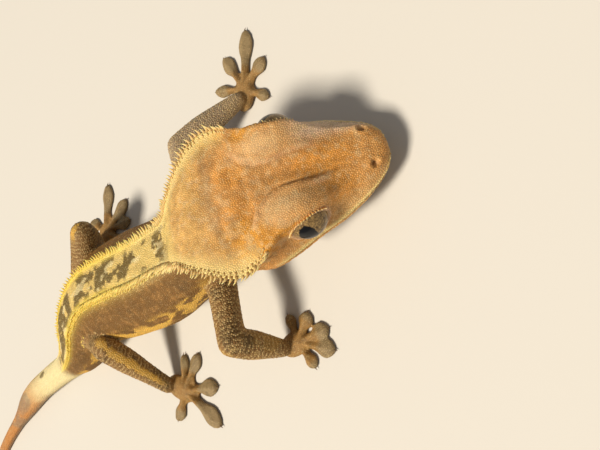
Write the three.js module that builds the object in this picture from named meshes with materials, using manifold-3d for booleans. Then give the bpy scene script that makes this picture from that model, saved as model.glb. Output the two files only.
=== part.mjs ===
// Adult crested gecko, life size, in the still pose of a lizard looking over an edge.
// Millimetres. The head points along +X, the floor is z = 0 and the soles and the tail rest on it.

import * as THREE from "three";
import { mergeVertices } from "three/addons/utils/BufferGeometryUtils.js";
import Module from "manifold-3d";

const wasm = await Module();
wasm.setup();
const { Manifold, Mesh: SolidMesh } = wasm;

// Driving sizes

const GAP = 0.3;
const HEAD_LENGTH = 33.3;
const BODY_LENGTH = 79;
const TAIL_END = 167;
const TRUNK_START = 10;
const TRUNK_MIDDLE = 36;
const PELVIS_START = 60;
const TAIL_MIDDLE_START = 106;
const TAIL_TIP_START = 140;
const HEAD_COLUMNS = 28;
const HEAD_RINGS = 18;
const TRUNK_COLUMNS = 24;
const TAIL_COLUMNS = 16;

const HEAD_YAW = -3.5;
const HEAD_PITCH = 24.5;
const HEAD_ROLL = 3;
const NAPE = [47.7, -1.7, 19.8];

// Moves the finished pieces so that the middle of the outer box stands over the origin
const MODEL_SHIFT = [13.15, -3.92, 0];

const EYE_RADIUS = 3.6;
const RIGHT_EYE = [16.9, 7.3, 2.8];
const LEFT_EYE = [16.9, 7.8, 2.9];
const eyePlace = (side) => (side < 0 ? RIGHT_EYE : LEFT_EYE);
const EYE_GAZE = [0.26, 0.93, 0.2];
const EYE_COLUMNS = 14;
const EYE_ROWS = 9;
const LID_RING = 3.15;
const LID_THICKNESS = 0.6;
const LID_OFFSET = 1.9;

const NOSTRIL_PLACE = [30.3, 3.2, 1.5];
const NOSTRIL_SIZE = [0.55, 0.7, 0.42];
const EAR_PLACE = [4.4, 11.2, -0.6];
const EAR_SIZE = [0.55, 1.1, 1.1];
const MOUTH_CORNER = 8.6;
const JAW_CUT_REACH = 20;

const LIMB_COLUMNS = 9;
const LIMB_ROWS = 6;
const TOE_COLUMNS = 6;
const TOE_ROWS = 7;
const PALM_COLUMNS = 9;
const PALM_ROWS = 5;
const CLAW_COLUMNS = 4;

const PAD_THICKNESS = 0.62;
const TOE_THICKNESS = 0.8;
const CLAW_LENGTH = 1.5;
const CLAW_RADIUS = 0.42;
const CLAW_TIP_RADIUS = 0.12;
const WEB_THICKNESS = 0.8;

const JOINT_CUT_SIZE = 13;
const ANKLE_CUT_SIZE = 7;
const ANKLE_CUT = 1.6;
const SMALLEST_PIECE = 20;

// Colours

const SKIN_ORANGE = 0xc8924f;
const SKIN_TAN = 0xb08c58;
const SKIN_OLIVE = 0x8a7044;
const TAIL_CREAM = 0xe6cd96;
const LIMB_OLIVE = 0x86724c;
const LIMB_GOLD = 0xb08f45;
const PAD_GREY = 0x9a8b72;
const EYE_BROWN = 0x5f5548;

// Helpers for smooth outlines

// Smooth curve through [place, value] pairs that never overshoots between them.
function profile(pairs) {
  const places = pairs.map((pair) => pair[0]);
  const values = pairs.map((pair) => pair[1]);
  const last = places.length - 1;
  const steps = [];
  for (let k = 0; k < last; k += 1) {
    steps.push((values[k + 1] - values[k]) / (places[k + 1] - places[k]));
  }
  const slopes = values.map((value, k) => {
    if (k === 0) return steps[0];
    if (k === last) return steps[last - 1];
    if (steps[k - 1] * steps[k] <= 0) return 0;
    return (2 * steps[k - 1] * steps[k]) / (steps[k - 1] + steps[k]);
  });
  return (place) => {
    if (place <= places[0]) return values[0];
    if (place >= places[last]) return values[last];
    let k = 0;
    while (places[k + 1] < place) k += 1;
    const width = places[k + 1] - places[k];
    const t = (place - places[k]) / width;
    const a = (1 + 2 * t) * (1 - t) * (1 - t);
    const b = t * (1 - t) * (1 - t) * width;
    const c = t * t * (3 - 2 * t);
    const d = t * t * (t - 1) * width;
    return a * values[k] + b * slopes[k] + c * values[k + 1] + d * slopes[k + 1];
  };
}

function mix(a, b, share) {
  return a + (b - a) * share;
}

function vector(triple) {
  return new THREE.Vector3(triple[0], triple[1], triple[2]);
}

// Head frame: x to the snout, y to the animal's left, z to the crown, origin at the nape.
const headTurn = new THREE.Quaternion().setFromEuler(
  new THREE.Euler(
    THREE.MathUtils.degToRad(HEAD_ROLL),
    THREE.MathUtils.degToRad(HEAD_PITCH),
    THREE.MathUtils.degToRad(HEAD_YAW),
    "ZYX",
  ),
);

function fromHead(x, y, z) {
  return new THREE.Vector3(x, y, z).applyQuaternion(headTurn).add(vector(NAPE));
}

// Line through the middle of the body from the snout to the tail tip
const spine = new THREE.CatmullRomCurve3(
  [
    fromHead(HEAD_LENGTH, 0, 0),
    fromHead(24, 0, 0),
    fromHead(16, 0, 0),
    fromHead(10, 0, 0),
    fromHead(5.5, 0, 0),
    vector([48.4, -1.7, 18.3]),
    vector([43.6, -1.4, 17.1]),
    vector([39.4, -1.1, 15.2]),
    vector([34.6, -0.7, 13.6]),
    vector([29.2, 0.0, 12.7]),
    vector([23.3, 0.8, 12.1]),
    vector([11.7, 3.5, 11.4]),
    vector([0.1, 5.5, 10.8]),
    vector([-10.6, 4.3, 9.7]),
    vector([-20.0, 0.6, 7.4]),
    vector([-31.0, 0.2, 4.6]),
    vector([-44.0, 0.6, 3.5]),
    vector([-56.8, 0.2, 3.0]),
    vector([-67.4, -2.0, 2.0]),
    vector([-83.4, -6.3, 1.35]),
    vector([-95.0, -11.5, 0.95]),
    vector([-103.0, -17.0, 0.6]),
  ],
  false,
  "centripetal",
);
spine.arcLengthDivisions = 800;

// Lean of the section: positive lifts the left side
const ROLL = profile([
  [-9, HEAD_ROLL], [-1, -3], [6, -8], [16, -11], [40, -9], [58, -4], [76, 0],
]);

// Place and axes of the section at a distance behind the nape
function sectionFrame(along) {
  const share = THREE.MathUtils.clamp((along + HEAD_LENGTH) / spine.getLength(), 0, 1);
  const origin = spine.getPointAt(share);
  const forward = spine.getTangentAt(share).negate();
  const up = new THREE.Vector3(0, 0, 1).addScaledVector(forward, -forward.z).normalize();
  const left = new THREE.Vector3().crossVectors(up, forward);
  const roll = THREE.MathUtils.degToRad(ROLL(along));
  const leanLeft = left.clone().multiplyScalar(Math.cos(roll)).addScaledVector(up, Math.sin(roll));
  const leanUp = up.clone().multiplyScalar(Math.cos(roll)).addScaledVector(left, -Math.sin(roll));
  return { origin, forward, left: leanLeft, up: leanUp };
}

// Outline of the body, against the distance behind the nape

const TOP = profile([
  [-33.3, -0.9], [-33.1, 0.2], [-32.5, 1.1], [-31, 2.0], [-28, 2.7], [-24, 3.5], [-20.5, 4.6],
  [-16.5, 5.7], [-12, 6.4], [-6, 6.8], [0, 6.9], [6, 6.7], [14, 7.1], [24, 7.9], [36, 8.2],
  [48, 8.0], [58, 7.2], [66, 6.1], [73, 5.0], [79, 4.2], [86, 3.8], [100, 3.5], [112, 3.1],
  [120, 2.2], [130, 1.7], [142, 1.35], [154, 0.95], [161, 0.65], [167, 0.4],
]);
const CREST_Y = profile([
  [-33.3, 0], [-33.1, 0.9], [-32.5, 2.0], [-31, 3.2], [-27, 4.7], [-23.5, 5.6], [-20.5, 6.9],
  [-17, 7.6], [-13.5, 8.7], [-10, 10.6], [-7.5, 12.2], [-5, 13.0], [-3, 12.3], [-1, 10.4],
  [1.5, 8.0], [4.5, 6.1], [9, 4.7], [14, 4.1], [24, 4.0], [43, 4.1], [55, 4.0], [66, 3.3],
  [76, 2.5], [86, 2.1], [110, 1.9], [125, 1.1], [167, 0.7],
]);
const CREST_Z = profile([
  [-33.3, -0.9], [-33.1, 0], [-32.5, 0.7], [-31, 1.4], [-27, 2.3], [-23.5, 4.0], [-20.5, 6.4],
  [-17.5, 7.6], [-13.5, 7.2], [-10, 6.2], [-7.5, 5.0], [-5, 4.2], [-3, 4.5], [-1, 5.2],
  [1.5, 5.9], [4.5, 6.3], [9, 6.4], [14, 6.8], [24, 7.6], [36, 7.9], [48, 7.7], [55, 6.9],
  [66, 5.6], [76, 4.3], [86, 3.3], [112, 2.6], [125, 1.5], [142, 1.2], [154, 0.85], [161, 0.6],
  [167, 0.35],
]);
const CREST_HEIGHT = profile([
  [-25, 0], [-21, 0.7], [-14, 0.9], [-8, 1.3], [-5, 1.6], [4, 1.3], [19, 1.1], [43, 0.9],
  [60, 0.6], [76, 0.35], [84, 0],
]);
const UNDER_Y = profile([
  [-33.3, 0], [-33.1, 1.2], [-32.5, 2.6], [-31, 4.2], [-29, 5.3], [-26, 6.3], [-23, 7.2],
  [-20, 8.5], [-17, 9.5], [-13, 10.2], [-9, 11.0], [-6, 11.1], [-3, 10.2], [1, 8.8], [7, 8.1],
  [12, 8.8], [18, 9.5], [26, 10.0], [36, 10.3], [46, 10.0], [55, 9.0], [66, 6.4], [76, 4.5],
  [86, 3.5], [110, 3.2], [118, 2.4], [125, 1.9], [142, 1.4], [154, 1.2], [161, 1.6], [165, 1.2],
  [167, 0.3],
]);
const SIDE_Y = profile([
  [-33.3, 0], [-33.1, 1.4], [-32.5, 3.0], [-31.5, 4.3], [-29.5, 5.8], [-27, 7.1], [-24, 8.3],
  [-21, 9.3], [-17, 10.3], [-12.5, 11.2], [-8, 11.8], [-5, 11.2], [-2, 9.8], [3, 8.5], [7, 8.2],
  [12, 9.3], [18, 10.5], [26, 11.6], [36, 11.9], [46, 11.5], [54, 10.3], [61, 8.7], [67, 7.2],
  [73, 5.8], [79, 4.5], [86, 3.8], [96, 3.7], [107, 3.6], [113, 3.2], [119, 2.5], [126, 1.8],
  [142, 1.5], [153, 1.25], [160, 2.0], [164, 1.7], [167, 0.4],
]);
const SIDE_Z = profile([
  [-33.3, -0.9], [-29, -1.6], [-20, -2.8], [-12.5, -3.4], [-8, -3.0], [-3, -2.4], [3, -1.6],
  [12, -1.4], [30, -1.2], [55, -1.0], [78, -0.2], [92, 0],
]);
const BOTTOM = profile([
  [-33.3, -0.9], [-33.1, -1.9], [-32.5, -2.7], [-31, -3.5], [-28, -4.5], [-24, -5.6],
  [-18, -6.9], [-12, -7.7], [-6, -8.1], [0, -7.6], [5, -6.9], [10, -6.9], [16, -7.6],
  [26, -8.3], [38, -8.6], [50, -8.3], [60, -7.6], [68, -6.4], [74, -5.2], [80, -4.2], [90, -3.6], [100, -3.5], [112, -3.1],
  [120, -2.3], [130, -1.8], [142, -1.4], [154, -1.0], [161, -0.7], [167, -0.6],
]);

// How much of the rise from the midline to the crest is reached half-way out
const CROWN = profile([[-30, 0.35], [-20.5, 0.6], [-15, 0.55], [-9, 0.35], [20, 0.3]]);

// Half outline of a section, from the midline of the back to the midline of the belly
function halfOutline(along) {
  const side = new THREE.Vector2(SIDE_Y(along), SIDE_Z(along));
  const crest = new THREE.Vector2(CREST_Y(along), CREST_Z(along));
  const top = TOP(along);
  const bottom = BOTTOM(along);
  const fall = bottom - side.y;
  return {
    back: [
      new THREE.Vector2(0, top),
      new THREE.Vector2(0.52 * crest.x, mix(top, crest.y, CROWN(along))),
      crest,
    ],
    flank: [
      crest,
      new THREE.Vector2(UNDER_Y(along), mix(crest.y, side.y, 0.5)),
      side,
      new THREE.Vector2(0.93 * side.x, side.y + 0.42 * fall),
      new THREE.Vector2(0.74 * side.x, side.y + 0.76 * fall),
      new THREE.Vector2(0.42 * side.x, side.y + 0.95 * fall),
      new THREE.Vector2(0, bottom),
    ],
    crest,
  };
}

// Where the crest stands on the half outline, how wide its foot is and which way it leans
const CREST_SHARE = 0.25;
const CREST_BASE = 1 / 16;
const CREST_LEAN = new THREE.Vector2(0.62, 0.78);

// Point of the outline: share 0 is the middle of the back and 1 the middle of the belly
function outlinePoint(along, share, sign, grow) {
  const half = halfOutline(along);
  let point;
  if (share <= CREST_SHARE) {
    const mirrored = [half.back[1].clone().setX(-half.back[1].x), ...half.back];
    const line = new THREE.SplineCurve(mirrored);
    point = line.getPoint((1 + (2 * share) / CREST_SHARE) / 3);
  } else {
    const end = half.flank[5].clone().setX(-half.flank[5].x);
    const line = new THREE.SplineCurve([...half.flank, end]);
    point = line.getPoint(((share - CREST_SHARE) / (1 - CREST_SHARE)) * (6 / 7));
  }
  const onCrest = Math.max(0, 1 - Math.abs(share - CREST_SHARE) / CREST_BASE);
  point = point.clone().addScaledVector(CREST_LEAN, CREST_HEIGHT(along) * onCrest);
  const middle = new THREE.Vector2(0, (TOP(along) + BOTTOM(along)) / 2);
  const away = point.clone().sub(middle).normalize();
  point.addScaledVector(away, grow);
  return point.setX(point.x * sign);
}

function bodyPoint(along, share, sign, grow = 0) {
  const frame = sectionFrame(along);
  const point = outlinePoint(along, share, sign, grow);
  const place = frame.origin
    .clone()
    .addScaledVector(frame.left, point.x)
    .addScaledVector(frame.up, point.y);
  place.z = Math.max(place.z, 0);
  return place;
}

// Reshapes a plain three.js surface: every vertex moves to where place() puts it.
function reshape(geometry, place) {
  const source = geometry.clone();
  source.deleteAttribute("uv");
  source.deleteAttribute("normal");
  const position = source.getAttribute("position");
  const point = new THREE.Vector3();
  for (let k = 0; k < position.count; k += 1) {
    point.fromBufferAttribute(position, k);
    const moved = place(point);
    position.setXYZ(k, moved.x, moved.y, moved.z);
  }
  return outward(mergeVertices(source, 1e-4));
}

// Turns all faces outward when the reshaping has turned the surface inside out
function outward(geometry) {
  const position = geometry.getAttribute("position");
  const index = geometry.getIndex();
  const corners = [new THREE.Vector3(), new THREE.Vector3(), new THREE.Vector3()];
  const kept = [];
  let volume = 0;
  for (let k = 0; k < index.count; k += 3) {
    const face = [index.getX(k), index.getX(k + 1), index.getX(k + 2)];
    const distinct = new Set(face).size === 3;
    if (distinct) {
      kept.push(face);
      face.forEach((vertex, c) => corners[c].fromBufferAttribute(position, vertex));
      volume += corners[0].dot(corners[1].clone().cross(corners[2]));
    }
  }
  const flip = volume < 0;
  const faces = kept.flatMap((face) => (flip ? [face[0], face[2], face[1]] : face));
  geometry.setIndex(faces);
  return geometry;
}

function solid(geometry) {
  const merged = mergeVertices(geometry, 1e-4);
  const mesh = new SolidMesh({
    numProp: 3,
    vertProperties: new Float32Array(merged.getAttribute("position").array),
    triVerts: new Uint32Array(merged.getIndex().array),
  });
  mesh.merge();
  return new Manifold(mesh);
}

function surface(body) {
  const mesh = body.getMesh();
  const geometry = new THREE.BufferGeometry();
  const places = new Float32Array(mesh.vertProperties);
  geometry.setAttribute("position", new THREE.BufferAttribute(places, 3));
  geometry.setIndex([...mesh.triVerts]);
  return mergeVertices(geometry, 1e-4);
}

function plain(geometry) {
  const bare = geometry.clone();
  bare.deleteAttribute("uv");
  bare.deleteAttribute("normal");
  return outward(mergeVertices(bare.index ? bare : mergeVertices(bare), 1e-4));
}

// Length of the body between two distances behind the nape, as one closed surface
function bodyLength(start, end, rings, options = {}) {
  const { grow = 0, columns = TRUNK_COLUMNS, pointedStart = false, pointedEnd = false } = options;
  const spread = options.spread ?? ((v) => v);
  const tube = new THREE.CylinderGeometry(
    pointedStart ? 0 : 1,
    pointedEnd ? 0 : 1,
    1,
    columns,
    rings,
  );
  return reshape(tube, (vertex) => {
    const v = 0.5 - vertex.y;
    const along = mix(start, end, spread(v));
    const radius = Math.hypot(vertex.x, vertex.z);
    const frame = sectionFrame(along);
    const middle = (TOP(along) + BOTTOM(along)) / 2;
    if (radius < 1e-6) {
      return frame.origin.clone().addScaledVector(frame.up, middle);
    }
    const angle = Math.atan2(vertex.x, vertex.z) / Math.PI;
    return bodyPoint(along, Math.abs(angle), angle < 0 ? -1 : 1, grow);
  });
}

// Head

function headPlace(triple, side) {
  return fromHead(triple[0], triple[1] * side, triple[2]);
}

function ellipsoidAt(place, size, turn) {
  const ball = new THREE.SphereGeometry(1, 8, 5);
  ball.scale(size[0], size[1], size[2]);
  ball.applyQuaternion(turn);
  ball.translate(place.x, place.y, place.z);
  return solid(plain(ball));
}

function lidRing(side) {
  const ring = new THREE.TorusGeometry(LID_RING, LID_THICKNESS, 5, 14);
  const gaze = new THREE.Vector3(EYE_GAZE[0], EYE_GAZE[1] * side, EYE_GAZE[2]).normalize();
  ring.applyQuaternion(new THREE.Quaternion().setFromUnitVectors(new THREE.Vector3(0, 0, 1), gaze));
  const [x, y, z] = eyePlace(side);
  const centre = vector([x, y * side, z]);
  centre.addScaledVector(gaze, LID_OFFSET);
  ring.translate(centre.x, centre.y, centre.z);
  ring.applyQuaternion(headTurn);
  ring.translate(NAPE[0], NAPE[1], NAPE[2]);
  return solid(plain(ring));
}

function eyeball(side, radius) {
  const ball = new THREE.SphereGeometry(radius, EYE_COLUMNS, EYE_ROWS);
  const centre = headPlace(eyePlace(side), side);
  ball.translate(centre.x, centre.y, centre.z);
  return solid(plain(ball));
}

// Thin curved slab that parts the lower jaw from the head along the lip line
function jawCutter() {
  const reach = HEAD_LENGTH + 3;
  const back = MOUTH_CORNER - 3.5;
  const lip = (x) => SIDE_Z(-x) + 0.15;
  const upper = [];
  const lower = [];
  const steps = 10;
  for (let k = 0; k <= steps; k += 1) {
    const x = mix(reach, back, k / steps);
    upper.push(new THREE.Vector2(x, lip(x) + GAP / 2));
    lower.push(new THREE.Vector2(k === steps ? x + GAP : x, lip(x) - GAP / 2));
  }
  const outline = [
    ...upper,
    new THREE.Vector2(back, -JAW_CUT_REACH),
    new THREE.Vector2(back + GAP, -JAW_CUT_REACH),
    ...lower.reverse(),
  ];
  const slab = new THREE.ExtrudeGeometry(new THREE.Shape(outline), {
    depth: 2 * JAW_CUT_REACH,
    bevelEnabled: false,
  });
  slab.translate(0, 0, -JAW_CUT_REACH);
  slab.rotateX(Math.PI / 2);
  slab.applyQuaternion(headTurn);
  slab.translate(NAPE[0], NAPE[1], NAPE[2]);
  return solid(plain(slab));
}

function headAndJaw() {
  const spread = (v) => Math.pow(v, 1.35);
  let head = solid(
    bodyLength(-HEAD_LENGTH, -GAP / 2, HEAD_RINGS, {
      columns: HEAD_COLUMNS,
      pointedStart: true,
      spread,
    }),
  );
  for (const side of [-1, 1]) {
    head = head.add(lidRing(side));
  }
  for (const side of [-1, 1]) {
    head = head.subtract(eyeball(side, EYE_RADIUS + GAP));
    head = head.subtract(ellipsoidAt(headPlace(NOSTRIL_PLACE, side), NOSTRIL_SIZE, headTurn));
    head = head.subtract(ellipsoidAt(headPlace(EAR_PLACE, side), EAR_SIZE, headTurn));
  }
  const pieces = head.subtract(jawCutter()).decompose();
  pieces.sort((a, b) => b.volume() - a.volume());
  return { head: pieces[0], jaw: pieces[1] };
}

// Limbs

// Tapered round length of a limb with ball ends; sizes are the radii at even steps along it.
function limb(start, end, sizes) {
  const from = vector(start);
  const to = vector(end);
  const axis = to.clone().sub(from);
  const length = axis.length();
  axis.normalize();
  const sideways = new THREE.Vector3(0, 0, 1).cross(axis).normalize();
  const upward = axis.clone().cross(sideways);
  const radiusAt = profile(sizes.map((size, k) => [(k / (sizes.length - 1)) * length, size]));
  const first = sizes[0];
  const last = sizes[sizes.length - 1];
  return reshape(new THREE.SphereGeometry(1, LIMB_COLUMNS, LIMB_ROWS), (vertex) => {
    const v = Math.acos(THREE.MathUtils.clamp(vertex.y, -1, 1)) / Math.PI;
    const place = mix(-first, length + last, 0.5 - 0.5 * Math.cos(Math.PI * v));
    let radius = radiusAt(place);
    if (place < 0) radius = Math.sqrt(Math.max(0, first * first - place * place));
    if (place > length) radius = Math.sqrt(Math.max(0, last * last - (place - length) ** 2));
    const angle = Math.atan2(vertex.x, vertex.z);
    const point = from.clone().addScaledVector(axis, place);
    point.addScaledVector(sideways, radius * Math.cos(angle));
    point.addScaledVector(upward, radius * Math.sin(angle));
    point.z = Math.max(point.z, 0);
    return point;
  });
}

// Toe with its broad climbing pad, flat on the floor
const TOE_WIDTH = profile([
  [0, 0.95], [0.35, 0.82], [0.5, 0.8], [0.64, 1.45], [0.78, 1.85], [0.9, 1.5], [1, 0.25],
]);

function toe(base, tip, padScale) {
  const from = vector([base[0], base[1], 0]);
  const to = vector([tip[0], tip[1], 0]);
  const axis = to.clone().sub(from);
  const length = axis.length();
  axis.normalize();
  const sideways = new THREE.Vector3(-axis.y, axis.x, 0);
  return reshape(new THREE.SphereGeometry(1, TOE_COLUMNS, TOE_ROWS), (vertex) => {
    const v = 0.5 - 0.5 * Math.cos(Math.acos(THREE.MathUtils.clamp(vertex.y, -1, 1)));
    const end = Math.min(1, Math.sqrt(Math.max(0, 1 - v)) * 4) * Math.min(1, Math.sqrt(v) * 4);
    const width = TOE_WIDTH(v) * padScale * end;
    const height = mix(TOE_THICKNESS, PAD_THICKNESS, v) * end;
    const angle = Math.atan2(vertex.x, vertex.z);
    const point = from.clone().addScaledVector(axis, v * length);
    point.addScaledVector(sideways, width * Math.cos(angle));
    point.z = Math.max(0, height + height * Math.sin(angle) * 1.3);
    return point;
  });
}

function claw(base, tip) {
  const cone = new THREE.CylinderGeometry(CLAW_TIP_RADIUS, CLAW_RADIUS, CLAW_LENGTH, CLAW_COLUMNS);
  cone.translate(0, CLAW_LENGTH / 2 - 0.6, 0);
  const axis = new THREE.Vector3(tip[0] - base[0], tip[1] - base[1], 0).normalize();
  axis.z = -0.18;
  axis.normalize();
  cone.applyQuaternion(new THREE.Quaternion().setFromUnitVectors(new THREE.Vector3(0, 1, 0), axis));
  cone.translate(tip[0], tip[1], PAD_THICKNESS * 0.95);
  return solid(plain(cone));
}

// Skin between the toes, as a low plate with hollowed edges
function web(palm, tips, heel) {
  const outline = [heel];
  tips.forEach((tip, k) => {
    outline.push([mix(palm[0], tip[0], 0.52), mix(palm[1], tip[1], 0.52)]);
    if (k < tips.length - 1) {
      const next = tips[k + 1];
      const x = (tip[0] + next[0]) / 2;
      const y = (tip[1] + next[1]) / 2;
      outline.push([mix(palm[0], x, 0.36), mix(palm[1], y, 0.36)]);
    }
  });
  const shape = new THREE.Shape(outline.map((point) => new THREE.Vector2(point[0], point[1])));
  const plate = new THREE.ExtrudeGeometry(shape, { depth: WEB_THICKNESS, bevelEnabled: false });
  return solid(plain(plate));
}

function foot(plan) {
  const heel = plan.ankle;
  const palm = plan.palm;
  const ball = new THREE.SphereGeometry(1, PALM_COLUMNS, PALM_ROWS);
  const turn = Math.atan2(palm[1] - heel[1], palm[0] - heel[0]);
  const reach = Math.hypot(palm[1] - heel[1], palm[0] - heel[0]);
  const pad = reshape(ball, (vertex) => {
    const point = new THREE.Vector3(
      vertex.y * (reach * 0.5 + plan.palmSize * 0.8),
      vertex.x * plan.palmSize,
      1.1 + vertex.z * plan.palmHeight,
    );
    point.applyAxisAngle(new THREE.Vector3(0, 0, 1), turn);
    point.x += (palm[0] + heel[0]) / 2;
    point.y += (palm[1] + heel[1]) / 2;
    point.z = Math.max(0, point.z);
    return point;
  });
  let whole = solid(pad).add(web(palm, plan.tips, heel));
  plan.tips.forEach((tip, k) => {
    whole = whole.add(solid(toe(palm, tip, plan.pads[k])));
    whole = whole.add(claw(palm, tip));
  });
  return whole;
}

// Thin flat cut across a limb
function slab(place, normal, size) {
  const box = new THREE.BoxGeometry(size, size, GAP);
  box.applyQuaternion(new THREE.Quaternion().setFromUnitVectors(new THREE.Vector3(0, 0, 1), normal));
  box.translate(place.x, place.y, place.z);
  return solid(plain(box));
}

function middleOf(body) {
  const box = body.boundingBox();
  return new THREE.Vector3().addVectors(vector(box.min), vector(box.max)).multiplyScalar(0.5);
}

// One whole limb, freed from the trunk and parted at the joint and at the wrist or ankle
function limbPieces(plan, trunkRoom) {
  const root = vector(plan.root);
  const joint = vector(plan.joint);
  const ankle = vector(plan.ankle);
  const upperAxis = joint.clone().sub(root).normalize();
  const lowerAxis = ankle.clone().sub(joint).normalize();
  const jointNormal = upperAxis.clone().add(lowerAxis).normalize();
  const ankleCut = ankle.clone().addScaledVector(lowerAxis, -ANKLE_CUT);
  const whole = solid(limb(plan.root, plan.joint, plan.upperSizes))
    .add(solid(limb(plan.joint, plan.ankle, plan.lowerSizes)))
    .add(foot(plan))
    .subtract(trunkRoom)
    .subtract(slab(joint, jointNormal, JOINT_CUT_SIZE))
    .subtract(slab(ankleCut, lowerAxis, ANKLE_CUT_SIZE));
  const pieces = whole.decompose().filter((piece) => piece.volume() > SMALLEST_PIECE);
  const nearest = (target) =>
    pieces.reduce((best, piece) =>
      middleOf(piece).distanceTo(target) < middleOf(best).distanceTo(target) ? piece : best,
    );
  return {
    upper: nearest(root.clone().lerp(joint, 0.6)),
    lower: nearest(joint.clone().lerp(ankle, 0.5)),
    end: nearest(new THREE.Vector3(plan.palm[0], plan.palm[1], 1)),
  };
}

// Poses of the four limbs

const ARM_SIZES = [3.3, 3.0, 2.85, 2.8];
const FOREARM_SIZES = [2.8, 2.85, 2.5, 1.95];
const THIGH_SIZES = [4.3, 3.9, 3.3, 3.0];
const SHIN_SIZES = [3.0, 2.75, 2.3, 1.9];

const LIMBS = {
  right_arm: {
    upper: "upper_arm_right",
    lower: "forearm_right",
    end: "hand_right",
    root: [38.9, -5.5, 12.2],
    joint: [38.0, -21.3, 14.6],
    ankle: [38.6, -24.2, 3.2],
    upperSizes: ARM_SIZES,
    lowerSizes: FOREARM_SIZES,
    palm: [41.2, -24.3],
    palmSize: 2.5,
    palmHeight: 1.5,
    tips: [[40.6, -18.2], [45.6, -19.9], [48.7, -24.6], [48.3, -28.9], [42.4, -30.2]],
    pads: [0.75, 1, 1.05, 1.05, 0.8],
  },
  left_arm: {
    upper: "upper_arm_left",
    lower: "forearm_left",
    end: "hand_left",
    root: [39.2, 5.2, 12.6],
    joint: [39.6, 20.4, 11.9],
    ankle: [50.8, 25.6, 3.0],
    upperSizes: ARM_SIZES,
    lowerSizes: FOREARM_SIZES,
    palm: [52.2, 28.2],
    palmSize: 2.5,
    palmHeight: 1.5,
    tips: [[56.8, 22.6], [59.6, 31.0], [58.0, 39.8], [49.8, 38.6], [44.2, 33.4]],
    pads: [0.75, 1, 1.08, 0.95, 0.8],
  },
  right_leg: {
    upper: "thigh_right",
    lower: "shin_right",
    end: "foot_right",
    root: [-11.6, 1.6, 8.6],
    joint: [1.0, -7.6, 15.0],
    ankle: [2.2, -18.6, 3.0],
    upperSizes: THIGH_SIZES,
    lowerSizes: SHIN_SIZES,
    palm: [5.2, -21.2],
    palmSize: 2.8,
    palmHeight: 1.5,
    tips: [[7.7, -13.4], [12.6, -15.2], [15.2, -24.0], [12.4, -32.0], [-1.2, -26.4]],
    pads: [0.75, 0.95, 1.1, 1.2, 0.95],
  },
  left_leg: {
    upper: "thigh_left",
    lower: "shin_left",
    end: "foot_left",
    root: [-10.6, 8.2, 8.8],
    joint: [2.8, 20.4, 14.2],
    ankle: [-8.2, 23.4, 3.0],
    upperSizes: THIGH_SIZES,
    lowerSizes: SHIN_SIZES,
    palm: [-6.4, 26.2],
    palmSize: 2.8,
    palmHeight: 1.5,
    tips: [[-1.0, 20.4], [3.6, 24.2], [4.6, 29.6], [-0.8, 37.6], [-12.4, 32.4]],
    pads: [0.75, 0.95, 1.1, 1.2, 0.95],
  },
};

// The whole model

const gecko = new THREE.Group();
gecko.name = "crested_gecko";

function addNode(name, geometry, color, roughness) {
  const material = new THREE.MeshStandardMaterial({ color, roughness, metalness: 0 });
  const mesh = new THREE.Mesh(geometry, material);
  mesh.name = name;
  mesh.position.copy(vector(MODEL_SHIFT));
  gecko.add(mesh);
}

const { head, jaw } = headAndJaw();
addNode("head", surface(head), SKIN_ORANGE, 0.7);
addNode("lower_jaw", surface(jaw), SKIN_TAN, 0.7);
for (const [name, side] of [["eye_right", -1], ["eye_left", 1]]) {
  addNode(name, surface(eyeball(side, EYE_RADIUS)), EYE_BROWN, 0.15);
}

const AXIAL = [
  ["neck", 0, TRUNK_START, 5, TRUNK_COLUMNS, SKIN_TAN],
  ["trunk_front", TRUNK_START, TRUNK_MIDDLE, 7, TRUNK_COLUMNS, SKIN_OLIVE],
  ["trunk_rear", TRUNK_MIDDLE, PELVIS_START, 6, TRUNK_COLUMNS, SKIN_OLIVE],
  ["pelvis", PELVIS_START, BODY_LENGTH, 6, TRUNK_COLUMNS, SKIN_OLIVE],
  ["tail_base", BODY_LENGTH, TAIL_MIDDLE_START, 5, TAIL_COLUMNS, TAIL_CREAM],
  ["tail_middle", TAIL_MIDDLE_START, TAIL_TIP_START, 5, TAIL_COLUMNS, TAIL_CREAM],
];
for (const [name, start, end, rings, columns, color] of AXIAL) {
  addNode(name, bodyLength(start + GAP / 2, end - GAP / 2, rings, { columns }), color, 0.7);
}
const tailTip = bodyLength(TAIL_TIP_START + GAP / 2, TAIL_END, 6, {
  columns: TAIL_COLUMNS,
  pointedEnd: true,
});
addNode("tail_tip", tailTip, TAIL_CREAM, 0.7);


// The trunk grown by the gap, which the limbs are cut back from
const trunkRoom = solid(bodyLength(-3, BODY_LENGTH + 11, 20, { grow: GAP }));
for (const plan of Object.values(LIMBS)) {
  const { upper, lower, end } = limbPieces(plan, trunkRoom);
  addNode(plan.upper, surface(upper), LIMB_OLIVE, 0.75);
  addNode(plan.lower, surface(lower), LIMB_GOLD, 0.75);
  addNode(plan.end, surface(end), PAD_GREY, 0.75);
}

export default gecko;
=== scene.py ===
# %% [markdown]
# # A crested gecko, life size
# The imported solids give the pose, the proportions and the places of the eyes. This lesson grows the
# living surface on them: one skin from the snout to the tail tip, a coat of granular scales, the
# fringe of small spines that names the animal, two wet eyes and twenty claws.
# Everything is worked out in millimetres and written to the meshes in metres.

import math

import bmesh
import bpy
import numpy as np
from mathutils import Matrix, Vector
from mathutils.bvhtree import BVHTree
from mathutils.kdtree import KDTree


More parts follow.
